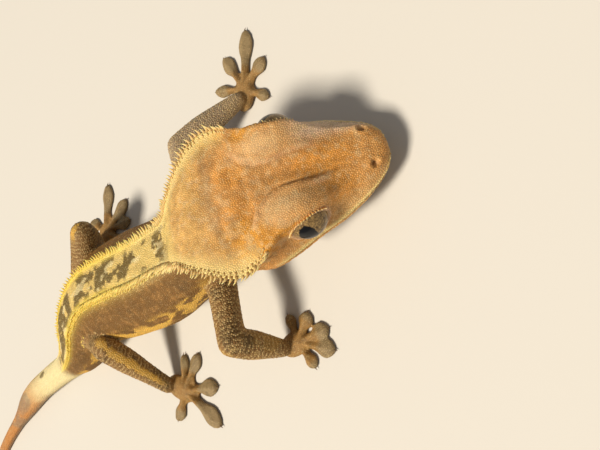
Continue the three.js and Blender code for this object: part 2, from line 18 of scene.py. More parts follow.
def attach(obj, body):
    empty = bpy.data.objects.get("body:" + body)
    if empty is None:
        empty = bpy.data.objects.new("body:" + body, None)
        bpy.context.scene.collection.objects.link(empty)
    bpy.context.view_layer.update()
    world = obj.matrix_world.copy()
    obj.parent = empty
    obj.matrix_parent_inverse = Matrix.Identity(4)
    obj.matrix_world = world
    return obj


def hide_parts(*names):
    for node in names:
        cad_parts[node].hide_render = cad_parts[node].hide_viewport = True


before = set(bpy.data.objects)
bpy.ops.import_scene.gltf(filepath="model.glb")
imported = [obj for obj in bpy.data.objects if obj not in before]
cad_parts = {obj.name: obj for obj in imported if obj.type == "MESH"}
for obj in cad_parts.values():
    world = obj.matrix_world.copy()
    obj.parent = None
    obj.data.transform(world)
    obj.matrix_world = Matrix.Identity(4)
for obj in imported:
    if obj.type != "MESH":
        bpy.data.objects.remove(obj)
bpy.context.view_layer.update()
MM = 0.001
random = np.random.default_rng(11)

# %% [markdown]
# ## The lines of the body
# A lizard's body is a tube whose section changes slowly, so its form is a few lines drawn against
# the distance behind the nape: the top, the belly, the flank, and the crest on each side. The
# solids were drawn from the same lines. A smooth line through a few points that never overshoots
# keeps the sections calm between them.

# %% Smooth lines
HEAD_LENGTH = 33.3
TAIL_END = 167.0
SHIFT = np.array([13.15, -3.92, 0.0])
NAPE = np.array([47.7, -1.7, 19.8]) + SHIFT
HEAD_YAW, HEAD_PITCH, HEAD_ROLL = -3.5, 24.5, 3.0


def smooth_line(pairs):
    place = np.array([pair[0] for pair in pairs], float)
    value = np.array([pair[1] for pair in pairs], float)
    step = np.diff(value) / np.diff(place)
    slope = np.r_[step[0], np.zeros(len(place) - 2), step[-1]]
    product = step[:-1] * step[1:]
    same = product > 0
    slope[1:-1][same] = 2 * product[same] / (step[:-1] + step[1:])[same]

    def line(at):
        at = np.clip(at, place[0], place[-1])
        k = np.clip(np.searchsorted(place, at, side="right") - 1, 0, len(place) - 2)
        width = place[k + 1] - place[k]
        t = (at - place[k]) / width
        return (
            (1 + 2 * t) * (1 - t) ** 2 * value[k]
            + t * (1 - t) ** 2 * width * slope[k]
            + t * t * (3 - 2 * t) * value[k + 1]
            + t * t * (t - 1) * width * slope[k + 1]
        )

    return line


TOP = smooth_line([
    (-33.3, -0.9), (-33.1, 0.2), (-32.5, 1.1), (-31, 2.0), (-28, 2.7), (-24, 3.5), (-20.5, 4.6),
    (-16.5, 5.7), (-12, 6.4), (-6, 6.8), (0, 6.9), (6, 6.7), (14, 7.1), (24, 7.9), (36, 8.2),
    (48, 8.0), (58, 7.2), (66, 6.1), (73, 5.0), (79, 4.2), (86, 3.8), (100, 3.5), (112, 3.1),
    (120, 2.2), (130, 1.7), (142, 1.35), (154, 0.95), (161, 0.65), (167, 0.4),
])
CREST_Y = smooth_line([
    (-33.3, 0), (-33.1, 0.9), (-32.5, 2.0), (-31, 3.2), (-27, 4.7), (-23.5, 5.6), (-20.5, 6.9),
    (-17, 7.6), (-13.5, 8.7), (-10, 10.6), (-7.5, 12.2), (-5, 13.0), (-3, 12.3), (-1, 10.4),
    (1.5, 8.0), (4.5, 6.1), (9, 4.7), (14, 4.1), (24, 4.0), (43, 4.1), (55, 4.0), (66, 3.3),
    (76, 2.5), (86, 2.1), (110, 1.9), (125, 1.1), (167, 0.7),
])
CREST_Z = smooth_line([
    (-33.3, -0.9), (-33.1, 0), (-32.5, 0.7), (-31, 1.4), (-27, 2.3), (-23.5, 4.0), (-20.5, 6.4),
    (-17.5, 7.6), (-13.5, 7.2), (-10, 6.2), (-7.5, 5.0), (-5, 4.2), (-3, 4.5), (-1, 5.2),
    (1.5, 5.9), (4.5, 6.3), (9, 6.4), (14, 6.8), (24, 7.6), (36, 7.9), (48, 7.7), (55, 6.9),
    (66, 5.6), (76, 4.3), (86, 3.3), (112, 2.6), (125, 1.5), (142, 1.2), (154, 0.85),
    (161, 0.6), (167, 0.35),
])
CREST_HEIGHT = smooth_line([
    (-25, 0), (-21, 0.7), (-14, 0.9), (-8, 1.3), (-5, 1.6), (4, 1.3), (19, 1.1), (43, 0.9),
    (60, 0.6), (76, 0.35), (84, 0),
])
UNDER_Y = smooth_line([
    (-33.3, 0), (-33.1, 1.2), (-32.5, 2.6), (-31, 4.2), (-29, 5.3), (-26, 6.3), (-23, 7.2),
    (-20, 8.5), (-17, 9.5), (-13, 10.2), (-9, 11.0), (-6, 11.1), (-3, 10.2), (1, 8.8), (7, 8.1),
    (12, 8.8), (18, 9.5), (26, 10.0), (36, 10.3), (46, 10.0), (55, 9.0), (66, 6.4), (76, 4.5),
    (86, 3.5), (110, 3.2), (118, 2.4), (125, 1.9), (142, 1.4), (154, 1.2), (161, 1.6),
    (165, 1.2), (167, 0.3),
])
SIDE_Y = smooth_line([
    (-33.3, 0), (-33.1, 1.4), (-32.5, 3.0), (-31.5, 4.3), (-29.5, 5.8), (-27, 7.1), (-24, 8.3),
    (-21, 9.3), (-17, 10.3), (-12.5, 11.2), (-8, 11.8), (-5, 11.2), (-2, 9.8), (3, 8.5),
    (7, 8.2), (12, 9.3), (18, 10.5), (26, 11.6), (36, 11.9), (46, 11.5), (54, 10.3), (61, 8.7),
    (67, 7.2), (73, 5.8), (79, 4.5), (86, 3.8), (96, 3.7), (107, 3.6), (113, 3.2), (119, 2.5),
    (126, 1.8), (142, 1.5), (153, 1.25), (160, 2.0), (164, 1.7), (167, 0.4),
])
SIDE_Z = smooth_line([
    (-33.3, -0.9), (-29, -1.6), (-20, -2.8), (-12.5, -3.4), (-8, -3.0), (-3, -2.4), (3, -1.6),
    (12, -1.4), (30, -1.2), (55, -1.0), (78, -0.2), (92, 0),
])
BOTTOM = smooth_line([
    (-33.3, -0.9), (-33.1, -1.9), (-32.5, -2.7), (-31, -3.5), (-28, -4.5), (-24, -5.6),
    (-18, -6.9), (-12, -7.7), (-6, -8.1), (0, -7.6), (5, -6.9), (10, -6.9), (16, -7.6),
    (26, -8.3), (38, -8.6), (50, -8.3), (60, -7.6), (68, -6.4), (74, -5.2), (80, -4.2),
    (90, -3.6), (100, -3.5), (112, -3.1), (120, -2.3), (130, -1.8), (142, -1.4), (154, -1.0),
    (161, -0.7), (167, -0.6),
])
CROWN = smooth_line([(-30, 0.35), (-20.5, 0.6), (-15, 0.55), (-9, 0.35), (20, 0.3)])
ROLL = smooth_line([(-9, HEAD_ROLL), (-1, -3), (6, -8), (16, -11), (40, -9), (58, -4), (76, 0)])
print("width over the flanks in mm at the head, neck and belly:",
      [round(2 * float(SIDE_Y(u)), 1) for u in (-8, 7, 36)])

# %% [markdown]
# ## The spine
# One curve runs through the middle of the body from the snout to the tail tip. In the head it is
# straight, which gives the head a frame of its own: x to the snout, y to the animal's left and z to
# the crown. Behind the nape each section turns with the curve, and leans a little to one side.

# %% The spine's curve and the frame of each section
HEAD_TURN = (
    Matrix.Rotation(math.radians(HEAD_YAW), 3, "Z")
    @ Matrix.Rotation(math.radians(HEAD_PITCH), 3, "Y")
    @ Matrix.Rotation(math.radians(HEAD_ROLL), 3, "X")
)
HEAD_AXES = np.array(HEAD_TURN)


def from_head(place):
    return np.asarray(place, float) @ HEAD_AXES.T + NAPE


BACK_AND_TAIL = [
    (48.4, -1.7, 18.3), (43.6, -1.4, 17.1), (39.4, -1.1, 15.2), (34.6, -0.7, 13.6),
    (29.2, 0.0, 12.7), (23.3, 0.8, 12.1), (11.7, 3.5, 11.4), (0.1, 5.5, 10.8),
    (-10.6, 4.3, 9.7), (-20.0, 0.6, 7.4), (-31.0, 0.2, 4.6), (-44.0, 0.6, 3.5),
    (-56.8, 0.2, 3.0), (-67.4, -2.0, 2.0), (-83.4, -6.3, 1.35), (-95.0, -11.5, 0.95),
    (-103.0, -17.0, 0.6),
]


def curve_through(points, steps):
    """Centripetal Catmull-Rom curve, as points close together and the length up to each."""
    points = np.asarray(points, float)
    padded = np.vstack([2 * points[0] - points[1], points, 2 * points[-1] - points[-2]])
    at = np.linspace(0, len(points) - 1, steps)
    k = np.minimum(at.astype(int), len(points) - 2)
    w = (at - k)[:, None]
    p0, p1, p2, p3 = (padded[k + step] for step in range(4))
    d0, d1, d2 = (
        np.sqrt(np.linalg.norm(b - a, axis=1))[:, None] for a, b in ((p0, p1), (p1, p2), (p2, p3))
    )
    t1 = d1 * ((p1 - p0) / d0 - (p2 - p0) / (d0 + d1) + (p2 - p1) / d1)
    t2 = d1 * ((p2 - p1) / d1 - (p3 - p1) / (d1 + d2) + (p3 - p2) / d2)
    curve = (
        p1 + t1 * w + (3 * (p2 - p1) - 2 * t1 - t2) * w**2 + (2 * (p1 - p2) + t1 + t2) * w**3
    )
    length = np.r_[0, np.cumsum(np.linalg.norm(np.diff(curve, axis=0), axis=1))]
    return curve, length


head_line = [from_head((x, 0, 0)) for x in (HEAD_LENGTH, 24, 16, 10, 5.5)]
spine, spine_length = curve_through(head_line + [np.array(p) + SHIFT for p in BACK_AND_TAIL], 6000)


def spine_point(u):
    along = np.clip(np.asarray(u) + HEAD_LENGTH, 0, spine_length[-1])
    return np.stack([np.interp(along, spine_length, spine[:, k]) for k in range(3)], -1)


def section_frame(u):
    """Middle of the section and its forward, left and up axes, at distances u behind the nape."""
    inside = np.clip(u, -HEAD_LENGTH + 0.06, spine_length[-1] - HEAD_LENGTH - 0.06)
    forward = spine_point(inside - 0.05) - spine_point(inside + 0.05)
    forward /= np.linalg.norm(forward, axis=-1, keepdims=True)
    up = np.array([0, 0, 1.0]) - forward * forward[..., 2:]
    up /= np.linalg.norm(up, axis=-1, keepdims=True)
    left = np.cross(up, forward)
    lean = np.radians(ROLL(u))[..., None]
    turned_left = left * np.cos(lean) + up * np.sin(lean)
    turned_up = up * np.cos(lean) - left * np.sin(lean)
    return spine_point(u), forward, turned_left, turned_up


print("spine length in mm:", round(float(spine_length[-1]), 1))

# %% [markdown]
# ## The section's outline
# Going round a section, the first quarter is the flat back between the two crests and the rest is
# the flank and belly. Both are smooth curves through a few points, and the skin stands a coat's
# depth inside the solids, so that scales and spines end on their outline.

# %% Outline of a section
CREST_SHARE = 0.25
CREST_LEAN = np.array([0.62, 0.78])
SKIN_CREST = 0.4
CREST_FOOT = 0.035
COAT_DEPTH = 0.16


def through(points, place):
    """Uniform Catmull-Rom curve through points (rings, n, 2), at places (columns)."""
    n = points.shape[1]
    k = np.clip(place.astype(int), 0, n - 2)
    w = (place - k)[None, :, None]
    p0, p1 = points[:, np.maximum(k - 1, 0)], points[:, k]
    p2, p3 = points[:, k + 1], points[:, np.minimum(k + 2, n - 1)]
    v0, v1 = (p2 - p0) / 2, (p3 - p1) / 2
    return (
        (2 * p1 - 2 * p2 + v0 + v1) * w**3 + (-3 * p1 + 3 * p2 - 2 * v0 - v1) * w**2 + v0 * w + p1
    )


def section_outline(u, share):
    """Left half outlines (rings, columns, 2) at distances u and shares from the back to the belly."""
    top, bottom, side_y, side_z = TOP(u), BOTTOM(u), SIDE_Y(u), SIDE_Z(u)
    crest = np.stack([CREST_Y(u), CREST_Z(u)], -1)
    fall = bottom - side_z
    half_way = np.stack([0.52 * crest[:, 0], top + (crest[:, 1] - top) * CROWN(u)], -1)
    mirror = np.array([-1.0, 1.0])
    back = np.stack([half_way * mirror, np.stack([0 * top, top], -1), half_way, crest], 1)
    low = np.stack([0.42 * side_y, side_z + 0.95 * fall], -1)
    flank = np.stack([
        crest,
        np.stack([UNDER_Y(u), (crest[:, 1] + side_z) / 2], -1),
        np.stack([side_y, side_z], -1),
        np.stack([0.93 * side_y, side_z + 0.42 * fall], -1),
        np.stack([0.74 * side_y, side_z + 0.76 * fall], -1),
        low,
        np.stack([0 * bottom, bottom], -1),
        low * mirror,
    ], 1)
    on_back = through(back, 1 + 2 * share / CREST_SHARE)
    on_flank = through(flank, 6 * (share - CREST_SHARE) / (1 - CREST_SHARE))
    outline = np.where((share <= CREST_SHARE)[None, :, None], on_back, on_flank)
    fringe = np.exp(-(((share - CREST_SHARE) / CREST_FOOT) ** 2))
    raised = (SKIN_CREST * CREST_HEIGHT(u))[:, None, None]
    outline = outline + raised * fringe[None, :, None] * CREST_LEAN
    middle = np.stack([0 * top, (top + bottom) / 2], -1)[:, None, :]
    away = outline - middle
    size = np.maximum(np.linalg.norm(away, axis=-1, keepdims=True), 1e-6)
    return outline - away / size * np.minimum(COAT_DEPTH, 0.3 * size)


print("skin lies", COAT_DEPTH, "mm inside the solids, its crest stands", SKIN_CREST, "of their ridge")

# %% [markdown]
# ## A sheet bent to a tube
# The skin of the body starts as a flat grid. Its rows become the rings and its columns run round
# them, closer together at the height of the eyes and the lips, where the form is finest.

# %% The grid of the body
ROW_STEP = smooth_line([
    (-33.3, 0.05), (-33.0, 0.1), (-32.2, 0.27), (-1, 0.28), (6, 0.6), (20, 0.8), (79, 0.8),
    (95, 1.4), (150, 1.6), (160, 0.8), (167, 0.3),
])
COLUMNS = 144
rows = [-HEAD_LENGTH]
while rows[-1] < TAIL_END:
    rows.append(min(TAIL_END, rows[-1] + float(ROW_STEP(rows[-1]))))
rows = np.array(rows)
spread = smooth_line([(0, 0), (0.28, 0.19), (0.72, 0.53), (1, 1)])
half_columns = spread(np.linspace(0, 1, COLUMNS // 2 + 1))
share_of_column = np.r_[half_columns[::-1], half_columns[1:]]
side_of_column = np.r_[-np.ones(COLUMNS // 2 + 1), np.ones(COLUMNS // 2)]

half = section_outline(rows, share_of_column)
rest = np.empty((len(rows), COLUMNS + 1, 3))
rest[..., 0] = -rows[:, None]
rest[..., 1] = half[..., 0] * side_of_column
rest[..., 2] = half[..., 1]
print("rings", len(rows), "columns", COLUMNS)

# %% [markdown]
# ## Sculpting the head
# The loft gives a bare skull shape. A living head has brows that swell over the eyes, a ridge from
# each brow to the snout, hollows before the eyes, lips with a row of plates, nostrils and ears.
# Each is a soft push out of the surface: a dome for a swelling, a ridge along a few points for a
# fold. The pushes are added up and made once, so none distorts another.

# %% Soft pushes
def bump(value, centre, width):
    return np.exp(-(((value - centre) / width) ** 2))


def soft_dome(points, centre, reach):
    return np.exp(-((((points - centre) / reach) ** 2).sum(-1)))


def distance_to_line(points, line):
    best = np.full(points.shape[:-1], 1e9)
    line = np.asarray(line, float)
    for a, b in zip(line[:-1], line[1:]):
        along = b - a
        t = np.clip(((points - a) @ along) / (along @ along), 0, 1)
        best = np.minimum(best, np.linalg.norm(points - a - t[..., None] * along, axis=-1))
    return best


def soft_ridge(points, line, width):
    return bump(distance_to_line(points, line), 0, width)


def ease(low, high, value):
    t = np.clip((value - low) / (high - low), 0, 1)
    return t * t * (3 - 2 * t)


HASH, HASH_GAIN, SEED_STEP = np.array([12.9898, 78.233, 37.719]), 43758.5453, 31.7


def grain(points, size, seed=0):
    """Smooth random values from 0 to 1 that change over a distance of size."""
    p = np.asarray(points) / size + SEED_STEP * seed
    cell = np.floor(p)
    f = p - cell
    f = f * f * (3 - 2 * f)
    total = 0
    for dx in (0, 1):
        for dy in (0, 1):
            for dz in (0, 1):
                corner = cell + (dx, dy, dz)
                value = np.sin(corner @ HASH) * HASH_GAIN
                value = value - np.floor(value)
                weight = (
                    np.where(dx, f[..., 0], 1 - f[..., 0])
                    * np.where(dy, f[..., 1], 1 - f[..., 1])
                    * np.where(dz, f[..., 2], 1 - f[..., 2])
                )
                total = total + value * weight
    return total


def cloud(points, size, seed=0):
    """Three layers of grain, each about half as coarse as the last, as pigment is mottled."""
    return (
        0.55 * grain(points, size, seed)
        + 0.3 * grain(points, size / 2.1, seed + 3)
        + 0.15 * grain(points, size / 4.3, seed + 7)
    )


print("a dome one reach from its centre keeps", round(float(bump(1, 0, 1)), 2), "of its height")

# %% [markdown]
# ## Folds, swellings and hollows
# In a crested gecko the brow is a soft dome with a fold along its inner edge that runs on to the
# snout. The muscles of the jaw swell the cheeks and the temples. Each form is a row of a table with
# its place, reach and height, so it can be moved or lowered alone. The head leans a little, so a
# few rows are for one side only.

# %% Folds, swellings and hollows of the head
EYE_PLACES = {-1: np.array([16.9, -7.3, 2.8]), 1: np.array([16.9, 7.8, 2.9])}
EYE_RADIUS = 3.6
EYE_GAZE = np.array([0.26, 0.93, 0.2])
NOSTRIL = np.array([30.3, 3.2, 1.5])
EAR = np.array([4.4, 11.2, -0.6])
MOUTH_CORNER = 8.6

BROW_FOLD = [
    (9.4, 6.2, 6.6), (10.8, 4.7, 6.5), (12.8, 3.5, 6.4), (15.2, 3.0, 6.2), (18.0, 3.3, 6.0),
    (20.6, 3.3, 5.3), (23.2, 2.8, 4.0), (26.0, 2.4, 3.0), (28.5, 2.6, 2.4),
]
SWELLINGS = [
    # brow over the eye, its rear part, temple, cheek muscle, snout tip beside the nostril
    ((15.3, 6.3, 6.2), (4.4, 2.7, 3.0), 1.25),
    ((10.0, 8.0, 5.8), (3.0, 2.6, 2.4), 0.7),
    ((5.0, 8.8, 4.5), (2.6, 3.0, 2.5), 0.25),
    ((7.0, 10.5, -2.5), (3.5, 3.0, 3.0), 0.35),
    ((29.6, 3.4, 2.4), (1.6, 1.3, 1.2), 0.22),
    # hollow before the eye, behind the eye, between the brows, on the nape
    ((24.8, 6.3, 1.3), (3.0, 1.8, 1.8), -0.25),
    ((12.4, 8.4, 6.0), (1.3, 1.5, 2.0), -0.36),
    ((11.6, 9.4, 2.2), (1.8, 2.0, 2.0), -0.45),
    ((17.5, 0.0, 5.8), (5.5, 1.7, 3.0), -0.45),
    ((8.2, 4.6, 6.6), (1.5, 2.4, 2.0), -0.36),
    ((3.6, 2.4, 6.4), (1.2, 5.0, 2.0), -0.28),
    ((7.5, 5.0, 6.4), (2.0, 1.8, 2.0), 0.22),
]
ONE_SIDED = [
    # fuller left snout, flatter right cheek: the head is turned a little on its neck
    ((22.5, 7.4, 0.5), (4.2, 2.6, 4.0), 0.9),
    ((17.0, -9.6, -2.4), (5.0, 3.0, 3.5), -0.45),
    ((8.6, 1.0, 6.7), (1.0, 0.5, 1.0), 0.3),
    ((11.3, 1.4, 6.5), (1.2, 0.45, 1.0), 0.25),
    ((6.6, -2.6, 6.5), (0.6, 1.6, 1.0), 0.2),
    ((9.4, -1.6, 6.6), (0.8, 0.7, 1.0), -0.22),
    ((7.6, 2.2, 6.5), (0.5, 1.2, 1.0), -0.2),
]
TOP_LEAN = 0.55
LEFT_FOLD = 0.55
FOLD_RISE, FOLD_WIDTH = 0.55, 0.6
CREASE_DEPTH, CREASE_OFF, CREASE_WIDTH = 0.5, 0.8, 0.45
SNOUT_GROOVE, GROOVE_DEPTH, GROOVE_WIDTH = [(31, 0, 2), (27, 0, 3.4), (22, 0, 4.6)], 0.25, 0.7
PITS = [
    # place and shape; height, distance and width of the rim; depth and width of the hole
    (NOSTRIL, (1.15, 1.0, 1.0), (0.2, 0.85, 0.35), (1.1, 0.52)),
    (EAR, (0.75, 2.0, 1.25), (0.16, 1.25, 0.4), (0.9, 0.8)),
]


def both_sides(points):
    """The points with the right half of the body laid over the left."""
    folded = np.array(points, float)
    folded[..., 1] = np.abs(folded[..., 1])
    return folded


def inside_folds(folded):
    """Whether points lie between the folds of the two brows."""
    fold_x, fold_y, _ = np.array(BROW_FOLD).T
    return folded[..., 1] < np.interp(folded[..., 0], fold_x, fold_y)


def head_pushes(points):
    """How far each point of the head moves outward, in mm."""
    folded = both_sides(points)
    push = np.zeros(points.shape[:-1])
    for where, forms in ((folded, SWELLINGS), (points, ONE_SIDED)):
        for centre, reach, height in forms:
            push += height * soft_dome(where, centre, reach)
    x = folded[..., 0]
    fold = distance_to_line(folded, BROW_FOLD)
    fade = (0.35 + 0.65 * ease(23, 19, x)) * ease(28, 24, x) * ease(7.5, 10, x)
    fade = fade * np.where(points[..., 1] < 0, 1.0, LEFT_FOLD)
    crease = CREASE_DEPTH * inside_folds(folded) * bump(fold, CREASE_OFF, CREASE_WIDTH)
    push += fade * (FOLD_RISE * bump(fold, 0, FOLD_WIDTH) - crease)
    push -= GROOVE_DEPTH * soft_ridge(points, SNOUT_GROOVE, GROOVE_WIDTH)
    for place, shape, (rise, rim, rim_width), (depth, hole) in PITS:
        away = np.linalg.norm((folded - place) / shape, axis=-1)
        push += rise * bump(away, rim, rim_width) - depth * bump(away, 0, hole)
    return push


MOUTH_SHARE = 0.5
SHARE_MM = 26
LIP_COLUMN, LIP_PLATE, SEAM_WIDTH, SEAM_DEPTH = 40, 1.5, 0.12, 0.12


def lip_pushes(points, share):
    """The line of the mouth, and the rows of plates above and below it."""
    in_mouth = ease(MOUTH_CORNER - 1.2, MOUTH_CORNER + 0.6, points[..., 0])
    height = (share - MOUTH_SHARE) * SHARE_MM
    lips = 0.24 * bump(height, -0.7, 0.55) + 0.14 * bump(height, 0.8, 0.6)
    lips = lips - 0.42 * bump(height, 0, 0.22)
    steps = np.linalg.norm(np.diff(points[:, LIP_COLUMN, :], axis=0), axis=1)
    along = np.cumsum(np.r_[0, steps])[:, None]
    seam = bump(np.mod(along + 0.7, LIP_PLATE), LIP_PLATE / 2, SEAM_WIDTH)
    plates = bump(height, -0.75, 0.5) + bump(height, 0.85, 0.55)
    return in_mouth * (lips - SEAM_DEPTH * seam * plates)


def surface_normals(grid):
    across = np.gradient(grid, axis=1)
    across[:, 0] = across[:, -1] = grid[:, 1] - grid[:, -2]
    down = np.gradient(grid, axis=0)
    normal = np.cross(across, down)
    size = np.linalg.norm(normal, axis=-1, keepdims=True)
    return normal / np.maximum(size, 1e-9)


print("forms on the head:", 2 * len(SWELLINGS) + len(ONE_SIDED) + 2 * len(PITS))

# %% [markdown]
# ## The rim of the eye
# A gecko has no lids that close. The skin ends in a thin rim that lies against the eyeball, with
# the brow as a roof over it. Round the eye's centre every point of the skin is either inside the
# opening, where it sinks behind the eyeball, or outside, where it is lifted until it clears the
# eyeball and forms a rounded rim. The opening is wider to the front than above.

# %% Opening for each eye
OPEN_FRONT, OPEN_BACK, OPEN_DOWN = 62.0, 64.0, 60.0
OPEN_UP = {-1: 55.0, 1: 68.0}
RIM_LIFT, RIM_GAP, RIM_WIDTH = 0.3, 0.1, 0.45
SOCKET_DEPTH = 0.7
EYE_SURROUND = 7.5
LIFT_FAR, LIFT_NEAR = 4.2, 1.2


def eye_axes(side, gaze=EYE_GAZE):
    gaze = gaze * np.array([1, side, 1])
    gaze = gaze / np.linalg.norm(gaze)
    up = np.array([0.0, 0.0, 1.0]) - gaze * gaze[2]
    up /= np.linalg.norm(up)
    ahead = np.cross(up, gaze)
    ahead = ahead * np.sign(ahead[0])
    return gaze, ahead, up


def open_eye(points, side):
    gaze, ahead, up = eye_axes(side)
    centre = EYE_PLACES[side]
    arm = points - centre
    radius = np.linalg.norm(arm, axis=-1)
    direction = arm / np.maximum(radius, 1e-6)[..., None]
    angle = np.degrees(np.arccos(np.clip(direction @ gaze, -1, 1)))
    a, b = direction @ ahead, direction @ up
    size = np.maximum(np.hypot(a, b), 1e-6)
    a, b = a / size, b / size
    wide = np.where(a > 0, OPEN_FRONT, OPEN_BACK)
    high = np.where(b > 0, OPEN_UP[side], OPEN_DOWN)
    edge = 1 / np.sqrt((a / wide) ** 2 + (b / high) ** 2)
    off = np.radians(angle - edge) * EYE_RADIUS
    near = (points[..., 1] * side > 1.5) & (radius < EYE_SURROUND)
    inside = EYE_RADIUS - SOCKET_DEPTH
    rim = EYE_RADIUS + RIM_GAP + RIM_LIFT * bump(off, RIM_WIDTH, RIM_WIDTH)
    outer = radius + (np.maximum(radius, rim) - radius) * ease(LIFT_FAR, LIFT_NEAR, off)
    moved = inside + (outer - inside) * ease(-0.18, 0.22, off)
    sunk = np.where(off < LIFT_FAR, moved, radius)
    target = centre + direction * sunk[..., None]
    return np.where(near[..., None], target, points)


HEAD_END = 6
NAPE_WRINKLE, WRINKLE_SIZE = 0.16, 1.5
head_rows = rows < HEAD_END
u_head = rows[head_rows][:, None]
sculpted = rest[head_rows]
pushes = head_pushes(sculpted) + lip_pushes(sculpted, share_of_column)
wrinkle = NAPE_WRINKLE * (grain(sculpted * (1.6, 0.7, 1), WRINKLE_SIZE, 5) - 0.5)
wrinkle = wrinkle * ease(-20, -6, u_head)
normals = surface_normals(sculpted)
normals *= np.sign((normals * (sculpted - (0, 0, -1))).sum(-1).mean())
fade_head = ease(HEAD_END - 0.5, 0.5, u_head) * ease(-HEAD_LENGTH, 0.4 - HEAD_LENGTH, u_head)
sculpted = sculpted + normals * ((pushes + wrinkle) * fade_head)[..., None]
sculpted[..., 1] += TOP_LEAN * soft_dome(sculpted, (16.0, 0, 7.0), (7.0, 9.0, 5.0))
for side in (-1, 1):
    sculpted = open_eye(sculpted, side)
rest[head_rows] = sculpted
print("deepest and highest push on the head in mm:", np.round([pushes.min(), pushes.max()], 2))

# %% [markdown]
# ## Bending the sheet
# The sculpted grid is still straight. Each row now goes to its place on the spine, and the sheet is
# sewn along the belly, at the snout and at the tail tip into one closed skin.

# %% The body as a mesh
middle, forward, left, up = section_frame(rows)
pinch = ease(TAIL_END, TAIL_END - 1.2, rows)[:, None]
core = ((TOP(rows) + BOTTOM(rows)) / 2)[:, None]
rest[..., 1] *= pinch
rest[..., 2] = core + (rest[..., 2] - core) * pinch
placed = (
    middle[:, None, :]
    + forward[:, None, :] * (rest[..., 0] + rows[:, None])[..., None]
    + left[:, None, :] * rest[..., 1:2]
    + up[:, None, :] * rest[..., 2:3]
)
SKIN_FLOOR = 0.04
placed[..., 2] = np.maximum(placed[..., 2], SKIN_FLOOR)


FIELDS = {"FLOAT_VECTOR": "vector", "FLOAT": "value", "FLOAT_COLOR": "color"}


def add_attribute(mesh, name, kind, values):
    layer = mesh.attributes.new(name, kind, "POINT")
    layer.data.foreach_set(FIELDS[kind], np.ascontiguousarray(values, np.float32).ravel())


def read_points(mesh, name=None, size=3):
    """The points of a mesh, or the values of its attribute with that name."""
    out = np.empty(len(mesh.vertices) * size, np.float32)
    if name is None:
        mesh.vertices.foreach_get("co", out)
    else:
        layer = mesh.attributes[name]
        layer.data.foreach_get(FIELDS[layer.data_type], out)
    return out.reshape(-1, size).astype(float) if size > 1 else out.astype(float)


def write_points(mesh, points):
    """Moves the points of a mesh to places in mm."""
    mesh.vertices.foreach_set("co", (points * MM).astype(np.float32).ravel())


def new_object(name, mesh):
    piece = bpy.data.objects.new(name, mesh)
    bpy.context.scene.collection.objects.link(piece)
    return piece


sheet = bmesh.new()
bmesh.ops.create_grid(sheet, x_segments=COLUMNS, y_segments=len(rows) - 1, size=1)
body_mesh = bpy.data.meshes.new("gecko_body")
sheet.to_mesh(body_mesh)
sheet.free()
flat = read_points(body_mesh)
column = np.rint((flat[:, 0] + 1) / 2 * COLUMNS).astype(int)
row = np.rint((flat[:, 1] + 1) / 2 * (len(rows) - 1)).astype(int)
write_points(body_mesh, placed[row, column])
add_attribute(body_mesh, "rest", "FLOAT_VECTOR", rest[row, column])
add_attribute(body_mesh, "share", "FLOAT", share_of_column[column])
SEAM_GAP = 0.0006
sewn = bmesh.new()
sewn.from_mesh(body_mesh)
bmesh.ops.remove_doubles(sewn, verts=sewn.verts[:], dist=SEAM_GAP * MM)
bmesh.ops.recalc_face_normals(sewn, faces=sewn.faces[:])
sewn.to_mesh(body_mesh)
open_edges = sum(1 for edge in sewn.edges if len(edge.link_faces) != 2)
sewn.free()
body = new_object("gecko_body", body_mesh)
print("body faces", len(body_mesh.polygons), "open edges", open_edges)

# %% [markdown]
# ## The limbs
# A limb is two tapered lengths of flesh, a palm, five toes with broad climbing pads and the web
# between them. Each is a ball stretched to its place. A voxel remesh fuses the pieces of one limb
# to an even surface, which a little smoothing turns to soft flesh round the joints.

